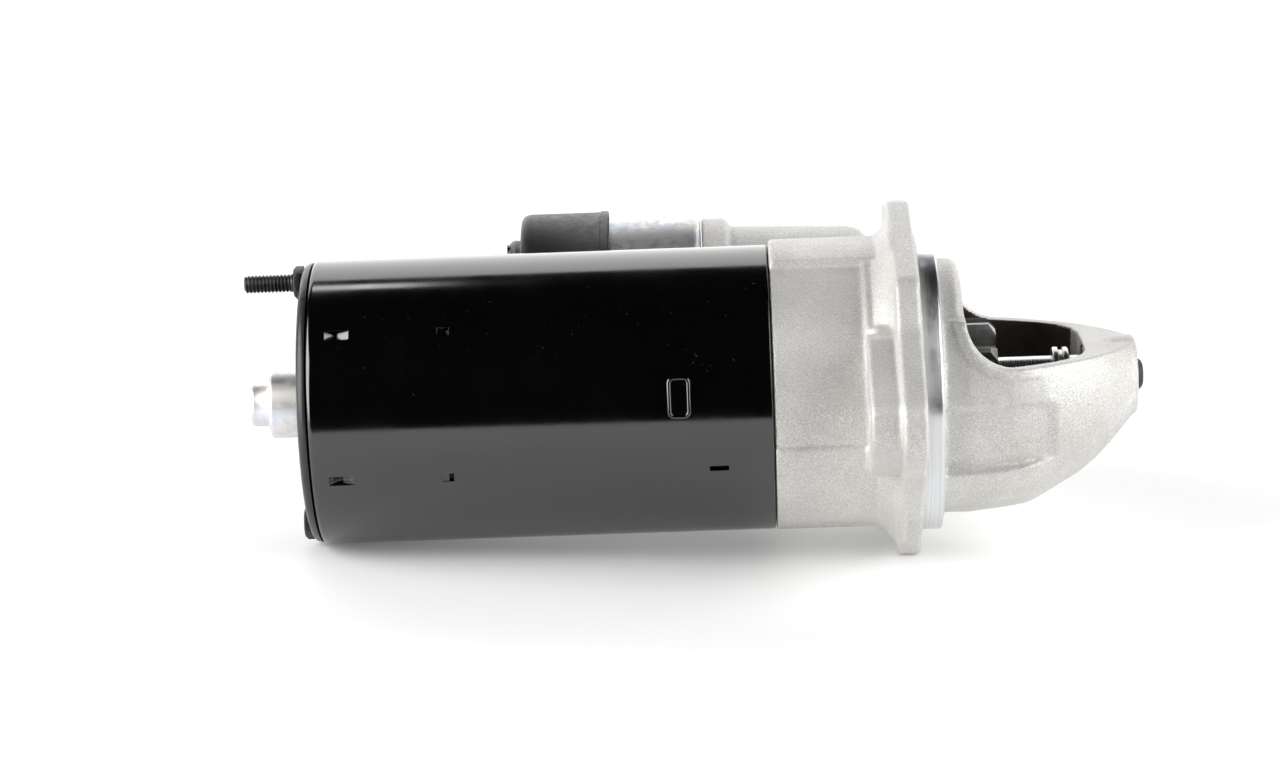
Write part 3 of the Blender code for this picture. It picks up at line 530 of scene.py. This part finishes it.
def housing_casting():
    """The die casting: barrel, flange with ears, collar, nose, lever chamber and solenoid pad."""
    nose_line = [tuple(p) for p in smooth_curve(NOSE_PROFILE, 3)]
    body = lathe("drive_housing_casting", [(0, 0)] + nose_line + [(59.2, 0)])
    body = cut(body, block("tool", (-1, -60, 22.6), (70, 60, 60)))
    barrel = lathe("tool", [
        (-50.9, 0), (-50.9, 35.4), (-39.3, 35.4), (-39.3, 39.2), (-1, 39.2), (-1, 40.35), (5.3, 40.35),
        (5.3, 33.6), (10.4, 33.5), (11.9, 32.4), (12.4, 30.6), (12.4, 0)], ROUND - 5)
    join(body, barrel)
    cut(body, window_cutter())
    tip = lathe("tool", [(44, 0), (46, 6.0), (50, 9.6), (55, 10.8), (59.4, 11), (60.2, 10.2), (60.2, 0)],
                SMALL_ROUND)
    flange = extrude_x("tool", rounded_outline(flange_corners()), -6.6, 0)
    ear_corners = [(-66, 8, 6), (-44, 22, 6), (-30, 24, 5), (-30, -18, 5), (-43, -15, 6), (-66, -2, 6)]
    ear = extrude_x("tool", rounded_outline(ear_corners), -14.8, -4)
    for piece in (flange, ear):
        soften(piece, 1.0, 3, 50)
    fillet = lathe("tool", [(-13.0, 36), (-12.6, 39.0), (-10.5, 40.4), (-8.2, 42.4), (-6.9, 44.4), (-5, 44.6),
                         (-5, 36)])
    top_band = lathe("tool", [(-38.9, 35), (-38.9, 40.4), (-5, 40.4), (-5, 35)], 41, sector=(69, 150))
    join(body, tip, flange, ear, fillet, top_band, tip_rib())
    for recess in panels():
        cut(body, recess)
    join(body, *solenoid_seat())
    inside = lathe("tool", [
        (-60, 0), (-60, 28.5), (-40.4, 28.5), (-40.4, 25.3), (13.0, 25.3), (13.0, 32.4), (24, 31.8),
        (30, 29.6), (36, 26.8), (41, 23.2), (44.2, 19.0), (45.6, 14.0), (45.8, 8.3), (56.6, 8.3),
        (56.6, 4.8), (70, 4.8), (70, 0)])
    cut(body, inside)
    cut(body, *holes())
    remesh(body, CAST_VOXEL, CAST_SMOOTHING, CAST_KEEP)
    wear(body, FINISH["cast_aluminium"], "cast_aluminium", "housing", "drive_housing")
    # The faces that look inward inside the nose take the painted shade finish.
    body.data.materials.append(CAST_INSIDE_SHADE)
    for face in body.data.polygons:
        across = Vector((0, face.center.y, face.center.z))
        inward = face.normal.dot(across) < -0.35 * across.length
        if inward and across.length < NOSE_INSIDE_RADIUS * MM and face.center.x < NOSE_INSIDE_END * MM:
            face.material_index = 1
    return body


def tip_rib():
    """The slanting rib that runs up the side of the nose to its end face."""
    rib = block("tool", (-7.4, -30, -0.8), (7.4, -1, 0.8))
    rib.data.transform(Matrix.Translation((55.0 * MM, 0, -10.2 * MM))
                       @ Matrix.Rotation(math.radians(-58), 4, "Y"))
    raised = [(x, r + 0.9) for x, r in NOSE_PROFILE[7:]]
    skin = lathe("tool", [(40, 0)] + raised + [(59.4, 11.4), (59.4, 0)])
    return combine(rib, [skin], "INTERSECT")


def window_cutter(margin=0.0):
    """The notch that opens the nose upwards: a quarter round at the collar, then a level cut."""
    round_in = 13.0
    centre_x, centre_z = COLLAR_FRONT + round_in, WINDOW_HEIGHT + round_in
    reach = round_in + margin
    outline = [(COLLAR_FRONT - margin, 60.0)]
    for k in range(15):
        turn = math.radians(180 + 90 * k / 14)
        outline.append((centre_x + reach * math.cos(turn), centre_z + reach * math.sin(turn)))
    return extrude_y("tool", outline + [(70.0, WINDOW_HEIGHT - margin), (70.0, 60.0)], -60, 60)


def flange_corners():
    return [(-68.5, 7.5, 8), (-45, 24.5, 10), (-37, 36.5, 6), (12, 48.3, 9), (32, 45, 12), (47, 20, 14),
            (49, -8, 12), (66, -24, 9), (58, -43, 9), (38, -38, 9), (12, -46.3, 8), (-11, -46.3, 6),
            (-23, -36.5, 8), (-33.5, -28, 8), (-55, -11.5, 8), (-68.5, -5, 7)]


SCREW_ANGLES = (-62, 18, 236)
SCREW_CIRCLE = 26.2


def solenoid_seat():
    """The bridge over the lever, its webs, the pad that carries the solenoid and the lobes for its screws."""
    low = -SOLENOID_OFFSET
    bridge = lathe("tool", [(-55, 0), (-55, 20.9), (-15, 19.7), (-11.5, 18.6), (-9.9, 16.4), (-9.3, 13.5),
                         (-9.3, 0)])
    web = block("tool", (-39.05, low + 20, -14.6), (-10.2, 0, 14.6))
    rear_web = block("tool", (-52, low + 42, -14.2), (-30, -1, 14.2))
    pad = lathe("tool", [(-57.4, 0), (-57.4, 23.2), (-51, 23.2), (-49.9, 22.4), (-49.9, 0)], ROUND + 7)
    lobes = [lathe("tool", [(-57.3, 0), (-57.3, 6.2), (-49.6, 6.2), (-49.6, 0)], 48, screw_place(i))
             for i in range(3)]
    return [to_solenoid(piece) for piece in [bridge, web, rear_web, pad] + lobes]


def screw_place(index):
    """Where a solenoid screw stands round the solenoid's axis."""
    turn = math.radians(SCREW_ANGLES[index])
    return SCREW_CIRCLE * math.cos(turn), SCREW_CIRCLE * math.sin(turn)


def holes():
    """Everything bored into the casting: ears, through bolts, lever slot, chamber, pivot and screws."""
    made = [lathe("tool", [(-30, 0), (-30, 5.25), (20, 5.25), (20, 0)], SMALL_ROUND, place)
            for place in ((-54.0, 4.0), (50.0, -29.0))]
    for node_name in ("through_bolt", "through_bolt_stud"):
        spot = centre_mm(node_name)
        made.append(lathe("tool", [(-60, 0), (-60, 2.8), (-14, 2.8), (-12.6, 0)], 32, (spot.y, spot.z)))
    low = -SOLENOID_OFFSET
    room = [block("tool", (-39.5, low, -17.5), (-11.5, low + 31.4, 17.5)),
            block("tool", (-37.0, low + 29, -10.5), (-14.6, 0, 10.5)),
            lathe("tool", [(-60, 0), (-60, 16), (-15.5, 16), (-13.8, 14), (-13.8, 0)], SMALL_ROUND)]
    pivot = lathe("tool", [(-19, 0), (-19, 3.3), (19, 3.3), (19, 0)], 40)
    pivot.data.transform(Matrix.Translation((-26 * MM, -28 * MM, 0))
                         @ Matrix.Rotation(math.radians(-90), 4, "Y"))
    room.append(pivot)
    room += [lathe("tool", [(-60, 0), (-60, 2.9), (-40, 2.9), (-40, 0)], 32, screw_place(i))
             for i in range(3)]
    return made + [to_solenoid(piece) for piece in room]


def panels():
    """Shallow cast recesses with soft ends on both sides of the nose, below it and along the barrel."""
    made = []
    # from angle, to angle, depth, station where it runs out, sides of the nose
    table = ((-0.6, 42, 1.2, 34, 2), (-31, 0.6, 2.4, 37, 2), (-124.5, -55.5, 0.6, 30, 1))
    for low, high, depth, far, sides in table:
        for start, end in ((low, high), (180 - high, 180 - low))[:sides]:
            recess = lathe("tool", nose_shell(depth, far), 23, sector=(start, end))
            if high > 10:
                cut(recess, window_cutter(2.4))
            made.append(recess)
    made.append(lathe("tool", [(-45, 38.5), (-15.0, 38.5), (-12.0, 40.2), (-12.0, 45), (-45, 45)], 31,
                      sector=(-13, 68.4)))
    return made


def nose_shell(depth, far):
    """Outline of a recess that follows the nose's profile at a depth and runs out at a station."""
    floor_line = []
    for x, r in NOSE_PROFILE:
        if 5 < x < far:
            fade = min(1.0, (far - x) / 6.0)
            floor_line.append((x, r - depth * fade))
    run_out = [(x, r + 0.4) for x, r in NOSE_PROFILE if x >= far][:1]
    return [(5.75, 36.6 - depth)] + floor_line[1:] + run_out + [(run_out[0][0], 60), (5.75, 60)]


def pilot_ring():
    """The machined spigot and the turned face in front of the flange."""
    ring = lathe("pilot_ring", [(-0.2, 38), (-0.2, 40.5), (5.2, 40.5), (5.7, 40.0), (5.7, 34.4), (4.4, 34.4),
                                (4.4, 38)], 192)
    soften(ring, 0.18, 2)
    return wear(ring, MACHINED, "cast_aluminium", "housing")


# ---------------------------------------------------------------- field frame and rear end

SLOTS = ((-54.4, -20), (-118.0, 100), (-71.2, 100), (-90.0, 220), (-118.0, 280))  # station and angle
PUNCHED_ANGLES = (40, -20, 160, 220)
LANCE_STATION = -155.3
NOTCH_STATION = -126.8
YOKE_SIDES = 234     # keeps the corners of the tube clear of the edges of the punched marks


def field_frame():
    """The painted steel tube with its punched slots, lances, notches and the hole for the lead."""
    inner = YOKE_RADIUS - 3.2
    body = lathe("field_frame_tube", [
        (YOKE_REAR, inner), (YOKE_REAR, YOKE_RADIUS - 1.0), (YOKE_REAR + 0.3, YOKE_RADIUS - 0.45),
        (YOKE_REAR + 0.8, YOKE_RADIUS - 0.1), (YOKE_REAR + 1.5, YOKE_RADIUS), (YOKE_FRONT - 0.3, YOKE_RADIUS),
        (YOKE_FRONT, YOKE_RADIUS - 0.3), (YOKE_FRONT, inner)], YOKE_SIDES)
    cutters = []
    for x, angle in SLOTS:
        cutters.append(at_angle(block("tool", (-2.55, -0.75, -10), (2.55, 0.75, 4)), x, angle, YOKE_RADIUS))
    for angle in PUNCHED_ANGLES:
        cutters.append(at_angle(lance_cutter(), LANCE_STATION, angle, YOKE_RADIUS))
        cutters.append(at_angle(notch_cutter(), NOTCH_STATION, angle, YOKE_RADIUS))
    grommet = centre_mm("lead_grommet")
    side = math.degrees(math.atan2(grommet.z, -grommet.y))
    cutters.append(at_angle(block("tool", (-5.6, -5.6, -8), (5.6, 5.6, 4)), grommet.x, side, YOKE_RADIUS))
    cut(body, *cutters)
    soften(body, 0.16, 2, 35)
    true_round(body, YOKE_RADIUS)
    outline = emboss()
    wear(body, FINISH["black_paint"], "black_paint", "housing", "field_frame")
    wear(outline, FINISH["black_paint"], "black_paint", "housing")


def lance_cutter():
    """A punched V: a shallow ramp from each end to a deeper slit in the middle."""
    return extrude_y("tool", [(-3.3, 2), (3.3, 2), (3.3, -0.35), (0.2, -1.5), (0.0, -2.4), (-0.6, -2.4),
                           (-3.3, -0.7)], -1.35, 1.35)


def notch_cutter():
    """A small punched step with a slit at its front end."""
    return extrude_y("tool", [(-1.6, 2), (1.6, 2), (1.6, -0.9), (0.3, -1.6), (0.3, -0.4), (-1.6, -0.3)],
                     -1.25, 1.25)


def emboss():
    """A raised rounded-rectangle outline pressed out of the tube's wall."""
    path = rounded_outline([(-2.6, -5.2, 1.4), (2.6, -5.2, 1.4), (2.6, 5.2, 1.4), (-2.6, 5.2, 1.4)], 7)
    sunk = YOKE_RADIUS - 0.2
    route = []
    for along, around in path:
        turn = math.radians(10) + around / YOKE_RADIUS
        route.append((-64.5 + along, -sunk * math.cos(turn), sunk * math.sin(turn)))
    return tube("yoke_emboss", route, 0.62, 16, True)


def true_round(obj, radius):
    """Aim the normals of a turned surface straight out from its axis, whatever is punched through it."""
    mesh = obj.data
    normals = [corner.vector.copy() for corner in mesh.corner_normals]
    for k, loop in enumerate(mesh.loops):
        spot = mesh.vertices[loop.vertex_index].co
        if abs(math.hypot(spot.y, spot.z) - radius * MM) < 0.008 * MM:
            normals[k] = Vector((0, spot.y, spot.z)).normalized()
    mesh.normals_split_custom_set(normals)


def end_cover():
    rear = box_mm("end_cover")[0][0]
    body = lathe("end_cover_pressing", [
        (YOKE_REAR - 0.3, 9.9), (rear, 9.9), (rear, 36.0), (rear + 0.35, 37.3), (rear + 1.0, 38.1),
        (rear + 2.0, 38.4), (YOKE_REAR - 0.35, 38.4), (YOKE_REAR - 0.3, 38.2), (YOKE_REAR - 0.3, 35.4),
        (-160.4, 35.4), (-160.4, 33.2), (YOKE_REAR - 0.3, 33.2)], 180)
    holes_cut = []
    for node_name in ("through_bolt", "through_bolt_stud"):
        spot = centre_mm(node_name)
        bore = [(-170, 0), (-170, 2.8), (-150, 2.8), (-150, 0)]
        holes_cut.append(lathe("tool", bore, 32, (spot.y, spot.z)))
    ring = lathe("tool", [(rear - 1, 15), (rear - 1, 28), (rear + 0.5, 27.4), (rear + 0.5, 15.6)], 144)
    cut(body, *holes_cut, ring)
    soften(body, 0.25, 2, 35)
    return wear(body, COVER_PAINT, "black_paint", "housing", "end_cover")


def bearing_cap():
    low, high = box_mm("bearing_cap")
    end, step = low[0], low[0] + 5.3
    arc = [(math.cos(math.radians(a)), math.sin(math.radians(a))) for a in range(0, 91, 18)]
    line = [(high[0], 8.2), (high[0], 9.5), (step + 1.4, 9.5)]
    line += [(step + 1.4 - 1.4 * s, 8.1 + 1.4 * c) for c, s in arc]
    line += [(step + 0.02, 7.2), (step - 0.35, 6.4), (step - 0.9, 6.1)]
    line += [(end + 1.3 - 1.3 * s, 4.8 + 1.3 * c) for c, s in arc]
    line += [(end, 0), (end + 1.2, 0), (end + 1.2, 4.9), (step + 1.2, 4.9), (step + 1.2, 8.2)]
    body = lathe("bearing_cap_drawn", line, 96)
    return wear(body, FINISH["zinc_plate"], "zinc_plate", "housing", "bearing_cap")


def hex_head(name, x0, x1, across, centre, turn):
    """A hexagon with chamfered corners on the side at x0."""
    body = extrude_x(name, ring_points(6, across / math.sqrt(3), turn, centre), x0, x1)
    corner = across * 0.585
    dome = lathe("tool", [(x0 - 1, 0), (x0 - 1, across * 0.40), (x0, across * 0.47),
                          (x0 + across * 0.11, corner), (x1 + 1, corner), (x1 + 1, 0)], SMALL_ROUND, centre)
    combine(body, [dome], "INTERSECT")
    return soften(body, 0.12, 2, 35)


def through_bolts():
    """Two long bolts with hexagon heads; one head carries a threaded stud."""
    for node_name in ("through_bolt_stud", "through_bolt"):
        low, high = box_mm(node_name)
        spot = centre_mm(node_name)
        centre = (spot.y, spot.z)
        seat = box_mm("end_cover")[0][0] - 0.25
        head_rear = seat - (2.9 if node_name == "through_bolt_stud" else 2.5)
        head = hex_head(node_name + "_head", head_rear, seat, 8.0, centre, 0.3)
        shank = lathe(node_name + "_shank", [(seat + 0.1, 0), (seat + 0.1, 2.4), (high[0] - 0.6, 2.4),
                                             (high[0], 1.8), (high[0], 0)], 32, centre)
        wear(shank, FINISH["black_steel"], "black_steel", "housing")
        wear(head, FINISH["black_steel"], "black_steel", "housing", node_name)
        if node_name == "through_bolt_stud":
            rod = threaded_rod("stud_thread", low[0], head_rear + 0.3, 2.5, 1.0, 0.42, centre, 0.7)
            wear(rod, FINISH["black_steel"], "black_steel", "housing")


# ---------------------------------------------------------------- drive, shaft and nose

def involute(angle):
    return math.tan(angle) - angle


def gear_outline(teeth, module, phase, addendum, dedendum, fullness, samples=7):
    """Involute teeth of 20 degrees; addendum and dedendum are in modules, fullness thins the tooth."""
    pitch = module * teeth / 2
    pressure = math.radians(20)
    base = pitch * math.cos(pressure)
    low = pitch - dedendum * module
    high = pitch + addendum * module
    radii = [low + (high - low) * k / (samples - 1) for k in range(samples)]
    points = []
    for i in range(teeth):
        middle = phase + 2 * math.pi * i / teeth
        flank = []
        for r in radii:
            spread = involute(pressure) - involute(math.acos(min(1.0, base / r)))
            flank.append((r, fullness * math.pi / (2 * teeth) + spread))
        points += [(r * math.cos(middle - h), r * math.sin(middle - h)) for r, h in flank]
        points += [(r * math.cos(middle + h), r * math.sin(middle + h)) for r, h in reversed(flank)]
    return points


def pinion():
    """The ten-tooth pinion with its chamfered teeth, its bore and the clutch's inner race behind it."""
    low, high = box_mm("pinion")
    rear, front = low[0], high[0]
    body = extrude_x("pinion_gear", gear_outline(10, 2.83, math.radians(32), 1.0, 1.15, 0.9), 3.0, front)
    lead_in = [(front - 2.4, 17.6), (front + 0.4, 14.0), (front + 0.4, 25), (front - 2.4, 25)]
    cut(body, lathe("tool", lead_in, 96))
    race = [(rear, 0), (rear, 12.6), (-3.0, 12.6), (-2.6, 11.2), (3.6, 11.2), (3.6, 0)]
    join(body, lathe("tool", race, 96))
    bore = [(-40, 0), (-40, 6.15), (front - 0.8, 6.15), (front + 0.4, 7.3), (front + 0.4, 0)]
    cut(body, lathe("tool", bore, 96))
    soften(body, 0.28, 3, 34)
    return wear(body, FINISH["gear_steel"], "gear_steel", "pinion", "pinion")


def drive_shaft():
    """The output shaft with its carrier, in front of the planet gears."""
    body = lathe("drive_shaft_turned", [
        (-51.0, 3.3), (-51.0, 23.5), (-50.5, 24.0), (-47.0, 24.0), (-47.0, 11.0), (-46.0, 8.0), (-17.5, 8.0),
        (-16.8, 5.85), (53.4, 5.85), (54.4, 4.9), (54.4, 0), (-41.0, 0), (-41.4, 3.3)], 96)
    cut(body, *[lathe("tool", [(-60, 0), (-60, 3.6), (-45, 3.6), (-45, 0)], 32,
                      (centre_mm(f"planet_pin_{k}").y, centre_mm(f"planet_pin_{k}").z)) for k in (1, 2, 3)])
    wear(body, FINISH["bright_steel"], "bright_steel", "output_shaft", "drive_shaft")
    x0, x1 = box_mm("stop_ring")[0][0], box_mm("stop_ring")[1][0]
    line = [(x0, 6.1), (x0, 7.9), (x0 + 0.3, 8.2), (x0 + 1.5, 8.2), (x0 + 1.8, 7.5), (x0 + 2.0, 7.35),
            (x0 + 2.5, 7.35), (x0 + 2.7, 7.5), (x0 + 2.9, 8.1), (x1 - 0.8, 8.2), (x1 - 0.3, 8.0), (x1, 7.4),
            (x1, 6.1)]
    ring = soften(lathe("stop_ring_turned", line, 80), 0.1, 2)
    wear(ring, FINISH["bright_steel"], "bright_steel", "output_shaft", "stop_ring")


def nose_plug():
    low, high = box_mm("nose_plug")
    line = [(low[0], 0), (low[0], 4.4), (high[0] - 1.9, 4.4)]
    line += [(high[0] - 1.9 + 1.9 * math.sin(math.radians(a)), 2.2 + 2.2 * math.cos(math.radians(a)))
             for a in range(15, 91, 15)]
    plug = lathe("nose_plug_domed", line + [(high[0], 0)], SMALL_ROUND)
    return wear(plug, FINISH["rubber"], "rubber", "housing", "nose_plug")


# ---------------------------------------------------------------- solenoid

TERMINAL_OFFSET = 11.0


def solenoid():
    """The zinc-plated can, the moulded cap, what stands on the cap and the screws of the pad."""
    can_low, can_high = box_mm("solenoid_can")
    rear, front = can_low[0], can_high[0]
    can = to_solenoid(lathe("solenoid_can_drawn", [
        (rear, 23.4), (rear, 25.0), (front - 2.2, 25.0), (front - 1.2, 24.8), (front - 0.5, 24.3),
        (front - 0.1, 23.5), (front, 22.6), (front, 10.2), (front - 2.4, 10.2), (front - 2.4, 23.4)], 160))
    wear(can, MOTTLED_ZINC, "zinc_plate", "housing", "solenoid_can")
    cap = lathe("solenoid_cap_moulded", [
        (rear - 0.3, 23.8), (-87.4, 23.8), (-87.4, 20.6), (-99.5, 20.6), (-99.5, 0), (-113.6, 0),
        (-113.6, 16.8), (-113.2, 17.9), (-112.4, 18.6), (-111.4, 18.9), (-111.0, 18.75), (-109.5, 18.75),
        (-109.5, 23.4), (-109.3, 24.6), (-108.6, 25.6), (-107.6, 26.05), (-106.4, 26.2), (-86.6, 26.2),
        (-86.4, 26.5), (rear - 0.5, 26.5), (rear - 0.3, 26.3)], 160)
    cutters = []
    for side in (-1, 1):
        y = TERMINAL_OFFSET * side
        collar = [(-115.4, 0), (-115.4, 6.2), (-115.0, 6.6), (-112, 6.7), (-112, 0)]
        join(cap, lathe("tool", collar, SMALL_ROUND, (y, 0)))
        cutters.append(lathe("tool", [(-130, 0), (-130, 4.2), (-100, 4.2), (-100, 0)], 48, (y, 0)))
        cutters.append(block("tool", (-101.9, y - 4.7, -6.3), (-98.0, y + 4.7, 6.3)))
    cutters.append(block("tool", (-130, -3.45, -15.7), (-108.2, 3.45, -14.3)))
    cut(cap, *cutters)
    join(cap, block("tool", (-113.8, -0.9, 1.0), (-109.6, 0.9, 18.4)))
    soften(cap, 0.2, 2, 35)
    wear(to_solenoid(cap), FINISH["black_plastic"], "black_plastic", "housing", "solenoid_cap")
    for name, side in (("motor", -1), ("battery", 1)):
        terminal(name, TERMINAL_OFFSET * side)
    blade = soften(block("blade_terminal_tab", (-122.5, -3.15, -15.4), (-108.6, 3.15, -14.6)), 0.15, 2)
    cut(blade, blade_hole())
    wear(to_solenoid(blade), FINISH["bronze"], "bronze", "housing", "blade_terminal")
    for i in range(3):
        screw(i)


def blade_hole():
    hole = lathe("tool", [(-20, 0), (-20, 0.9), (20, 0.9), (20, 0)], 24)
    hole.data.transform(Matrix.Translation((-119.5 * MM, 0, 0)) @ Matrix.Rotation(math.radians(90), 4, "Y"))
    return hole


def terminal(name, y):
    """A threaded copper stud with its square head inside the cap and its flanged nut."""
    rod = threaded_rod(name + "_terminal_thread", -127.0, -112.5, 3.9, 1.25, 0.5, (y, 0), 1.0)
    base = lathe(name + "_terminal_base", [(-112.5, 0), (-112.5, 3.85), (-101.0, 3.85), (-101.0, 0)], 48,
                 (y, 0))
    join(base, block("tool", (-101.6, y - 4.4, -6), (-98.4, y + 4.4, 6)))
    soften(base, 0.2, 2)
    wear(to_solenoid(rod), FINISH["copper"], "copper", "housing")
    wear(to_solenoid(base), FINISH["copper"], "copper", "housing", name + "_terminal")
    nut = hex_head(name + "_nut_hex", -122.0, -116.4, 13.0, (y, 0), 0.2)
    washer = [(-116.9, 4.5), (-116.9, 7.2), (-115.8, 7.4), (-115.8, 4.5)]
    join(nut, lathe("tool", washer, SMALL_ROUND, (y, 0)))
    cut(nut, lathe("tool", [(-130, 0), (-130, 4.0), (-110, 4.0), (-110, 0)], 48, (y, 0)))
    wear(to_solenoid(nut), FINISH["zinc_plate"], "zinc_plate", "housing", name + "_nut")


def screw(index):
    """A screw with a domed head and a six-lobed socket."""
    place = screw_place(index)
    body = lathe(f"solenoid_screw_turned_{index + 1}", [
        (-57.1, 0), (-57.1, 2.4), (-49.3, 2.4), (-49.3, 4.6), (-47.2, 4.6), (-46.2, 4.2), (-45.5, 3.2),
        (-45.4, 2.4), (-45.4, 0)], 56, place)
    cut(body, extrude_x("tool", star_points(2.5, 1.8, place), -47.6, -44))
    wear(to_solenoid(soften(body, 0.1, 2, 35)), FINISH["zinc_plate"], "zinc_plate", "housing",
         f"solenoid_screw_{index + 1}")


def star_points(outer, inner, centre):
    """A six-lobed socket."""
    points = []
    for k in range(48):
        turn = 2 * math.pi * k / 48
        r = (outer + inner) / 2 + (outer - inner) / 2 * math.cos(6 * turn)
        points.append((centre[0] + r * math.cos(turn), centre[1] + r * math.sin(turn)))
    return points


def plunger_spring():
    """The coil that pushes the plunger forward, made at one length; the real one shortens as the plunger is
    drawn in.
    """
    low, high = box_mm("plunger_spring")
    wire, mean, turns = 0.85, 11.8, 5.5
    length = high[0] - low[0] - 2 * wire
    route = []
    for k in range(int(turns * 28) + 1):
        share = k / (turns * 28)
        eased = share - 0.10 * math.sin(2 * math.pi * share) / (2 * math.pi)
        turn = 2 * math.pi * turns * share
        route.append((low[0] + wire + length * eased, mean * math.cos(turn), mean * math.sin(turn)))
    coil = to_solenoid(tube("plunger_spring_coil", route, wire, 12))
    wear(coil, FINISH["bright_steel"], "bright_steel", "housing", "plunger_spring")
    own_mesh(coil)


def motor_lead():
    """The covered cable from the motor terminal to the field frame, its eye and its grommet."""
    route = [tuple(p) for p in smooth_curve([
        (-125.3, 51.8, 8.8), (-125.8, 49.2, 8.4), (-128.2, 47.2, 7.9), (-133.0, 46.8, 6.9),
        (-139.0, 47.8, 5.3), (-144.6, 48.2, 4.0), (-148.4, 46.2, 3.5), (-149.6, 42.5, 3.4)], 8)]
    lead = tube("motor_lead_cable", route, 2.5, 16)
    wear(lead, FINISH["rubber"], "rubber", "housing", "motor_lead")
    eye = lathe("motor_lead_eye", [(-123.6, 4.1), (-123.6, 6.6), (-122.2, 6.6), (-122.2, 4.1)], 56,
                (-TERMINAL_OFFSET, 0))
    soften(eye, 0.2, 2)
    wear(to_solenoid(eye), FINISH["copper"], "copper", "housing")
    grommet = centre_mm("lead_grommet")
    side = math.degrees(math.atan2(grommet.z, -grommet.y))
    square = [(-5.2, -5.2, 1.6), (5.2, -5.2, 1.6), (5.2, 5.2, 1.6), (-5.2, 5.2, 1.6)]
    body = extrude_x("lead_grommet_moulded", rounded_outline(square), -3.0, 2.4)
    body.data.transform(Matrix.Rotation(math.radians(-90), 4, "Y"))
    at_angle(body, grommet.x, side, YOKE_RADIUS)
    soften(body, 0.6, 3, 40)
    wear(body, FINISH["rubber"], "rubber", "housing", "lead_grommet")


# ---------------------------------------------------------------- finishes on the frame's own nodes

def dress_frame():
    """Give every CAD node its finish, so that what shows inside has its real material."""
    slots = {part["node"]: part["material_slot"] for part in frame["record"]["subparts"]}
    for name, obj in frame["nodes"].items():
        finish = FINISH[slots[name]]
        if not obj.material_slots:
            obj.data.materials.append(finish)
        for entry in obj.material_slots:
            entry.material = finish


# ---------------------------------------------------------------- floor, lights and camera

def floor():
    """One pale table in two sheets: the paint mirrors a dark room, so the front one casts no reflection."""
    mat, tree, shader = shader_of("studio_floor")
    tone = ramp(tree, noise(tree, 1.5, 2), [(0.3, 0.90), (0.7, 0.93)])
    tree.links.new(tone, shader.inputs["Base Color"])
    shader.inputs["Roughness"].default_value = 0.6
    # Painted light: the floor glows faintly, which lightens the shadows on it and what it reflects into the
    # parts.
    shader.inputs["Emission Color"].default_value = (1, 1, 1, 1)
    shader.inputs["Emission Strength"].default_value = 0.10
    touch = Vector((YOKE_REAR + 1.0, 0, -YOKE_RADIUS)) * MM
    tilt = Matrix.Rotation(-FLOOR_TILT, 4, "Y")
    place = Matrix.Translation(touch) @ tilt @ Matrix.Translation((0, 0, -0.0002))
    for name, near, far in (("studio_floor", -FLOOR_FRONT, 6.0), ("studio_floor_front", -5.0, -FLOOR_FRONT)):
        bm = bmesh.new()
        spots = ((-3, near, 0), (3, near, 0), (3, far, 0), (-3, far, 0))
        bm.faces.new([bm.verts.new(spot) for spot in spots])
        sheet = from_bmesh(name, bm)
        sheet.data.materials.append(mat)
        sheet.matrix_world = place
    sheet.visible_glossy = False
    sheet.visible_diffuse = False


def panel(name, place, target, width, height, power):
    light = bpy.data.lights.new(name, "AREA")
    light.shape = "RECTANGLE"
    light.size = width
    light.size_y = height
    light.energy = power
    obj = bpy.data.objects.new(name, light)
    bpy.context.scene.collection.objects.link(obj)
    obj.location = place
    obj.rotation_euler = (Vector(target) - Vector(place)).to_track_quat("-Z", "Y").to_euler()
    return obj


def lights():
    panel("back_softbox", (-0.05, 1.6, 1.0), (-0.05, 0, 1.0), 3.4, 2.05, 43)
    panel("left_softbox", (-1.25, -0.45, 0.5), (-0.08, 0, 0), 1.45, 1.3, 34)
    panel("right_softbox", (1.15, -0.45, 0.5), (-0.08, 0, 0), 1.45, 1.3, 24)
    panel("ceiling_strip", (-0.34, 0.62, 1.2), (-0.34, 0, 0.03), 0.20, 0.13, 0.40)
    world = bpy.data.worlds.new("studio")
    bpy.context.scene.world = world
    world.use_nodes = True
    world.node_tree.nodes["Background"].inputs["Color"].default_value = (0.004, 0.004, 0.004, 1)


def camera():
    """Long lens at the reference picture's angle: slightly from the nose side, 13 degrees above."""
    side, height, distance = math.radians(1.3), math.radians(13.0), 1.065
    target = Vector((-0.0755, 0, 0.002))
    towards = Vector((math.sin(side) * math.cos(height), -math.cos(side) * math.cos(height),
                      math.sin(height)))
    data = bpy.data.cameras.new("camera")
    data.lens = 109.0
    data.sensor_width = 36.0
    obj = bpy.data.objects.new("camera", data)
    bpy.context.scene.collection.objects.link(obj)
    look = (-towards).to_track_quat("-Z", "Y").to_matrix().to_4x4()
    roll = Matrix.Rotation(math.radians(-CAMERA_ROLL), 4, "Z")
    obj.matrix_world = Matrix.Translation(target + towards * distance) @ look @ roll
    bpy.context.scene.camera = obj
    bpy.context.scene.view_settings.view_transform = "Standard"


def main():
    dress_frame()
    housing_casting()
    pilot_ring()
    field_frame()
    end_cover()
    bearing_cap()
    through_bolts()
    pinion()
    drive_shaft()
    nose_plug()
    solenoid()
    plunger_spring()
    motor_lead()
    floor()
    lights()
    camera()


main()
